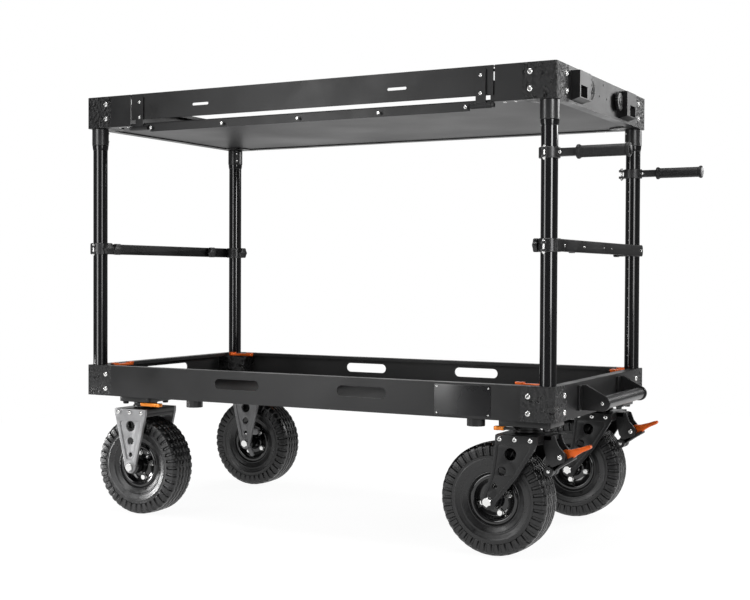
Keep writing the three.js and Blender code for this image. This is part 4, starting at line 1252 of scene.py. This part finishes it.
def stage_floor():
    mesh = bpy.data.meshes.new("floor")
    mesh.from_pydata([(a, b, 0) for a, b in FLOOR], [], [(0, 1, 2, 3)])
    floor = put("floor", mesh)
    material = bpy.data.materials.new("floor_white")
    material.use_nodes = True
    tree = material.node_tree
    shader = tree.nodes["Principled BSDF"]
    fill(shader, Base_Color=FLOOR_COLOR, Roughness=0.9, Specular_IOR_Level=0.1)
    glow = add(tree, "Emission", Color=WHITE, Strength=GLOW_STRENGTH)
    mix = add(tree, "MixShader")
    tree.links.new(compute(tree, "MULTIPLY", seen_directly(tree), FLOOR_GLOW), mix.inputs["Fac"])
    tree.links.new(shader.outputs["BSDF"], mix.inputs[1])
    tree.links.new(glow.outputs["Emission"], mix.inputs[2])
    tree.links.new(mix.outputs["Shader"], tree.nodes["Material Output"].inputs["Surface"])
    mesh.materials.append(material)


def studio():
    """A white backdrop behind the cart in a dim room; the camera sees white all round."""
    world = bpy.data.worlds.new("studio")
    bpy.context.scene.world = world
    world.use_nodes = True
    tree = world.node_tree
    background = fill(tree.nodes["Background"], Color=WHITE)
    direction = add(tree, "TexCoord")
    dot = add(tree, "VectorMath")
    dot.operation = "DOT_PRODUCT"
    dot.inputs[1].default_value = BACKDROP_WAY
    tree.links.new(direction.outputs["Generated"], dot.inputs[0])
    inner, outer = (math.cos(math.radians(angle)) for angle in BACKDROP_EDGE)
    behind = add(tree, "MapRange", From_Min=outer, From_Max=inner, To_Min=ROOM_LEVEL, To_Max=1.0)
    tree.links.new(dot.outputs["Value"], behind.inputs["Value"])
    camera_ray = add(tree, "LightPath").outputs["Is Camera Ray"]
    strength = compute(tree, "MAXIMUM", camera_ray, behind.outputs["Result"])
    tree.links.new(strength, background.inputs["Strength"])


def softbox(name, at, look, width, height, power, spread):
    data = bpy.data.lights.new(name, "AREA")
    data.shape = "RECTANGLE"
    data.size = width
    data.size_y = height
    data.energy = power
    data.spread = math.radians(spread)
    lamp = put(name, data)
    lamp.location = at
    lamp.rotation_mode = "QUATERNION"
    lamp.rotation_quaternion = (Vector(look) - Vector(at)).to_track_quat("-Z", "Y")


stage_floor()
studio()
for lamp in LAMPS:
    softbox(*lamp)


# The photograph's camera, in metres, degrees and pixels
CAMERA_AT = (1.51428, -2.90953, 0.63746)
CAMERA_YAW = 28.23
CAMERA_PITCH = -1.11
CAMERA_ROLL = 0.26
FOCAL = 1242.68
PICTURE_WIDTH = 750
SENSOR = 36.0


def photo_camera():
    data = bpy.data.cameras.new("camera")
    camera = put("camera", data)
    yaw, pitch, roll = (math.radians(v) for v in (CAMERA_YAW, CAMERA_PITCH, CAMERA_ROLL))
    level = math.cos(pitch)
    ahead = Vector((-math.sin(yaw) * level, math.cos(yaw) * level, math.sin(pitch)))
    right = Vector((math.cos(yaw), math.sin(yaw), 0))
    up = right.cross(ahead)
    side = right * math.cos(roll) + up * math.sin(roll)
    top = up * math.cos(roll) - right * math.sin(roll)
    turn = Matrix((side, top, -ahead)).transposed().to_4x4()
    camera.matrix_world = Matrix.Translation(CAMERA_AT) @ turn
    data.sensor_width = SENSOR
    data.lens = FOCAL / PICTURE_WIDTH * SENSOR
    data.clip_start = 0.05
    data.clip_end = 60
    bpy.context.scene.camera = camera


photo_camera()
bpy.context.scene.view_settings.view_transform = "Standard"
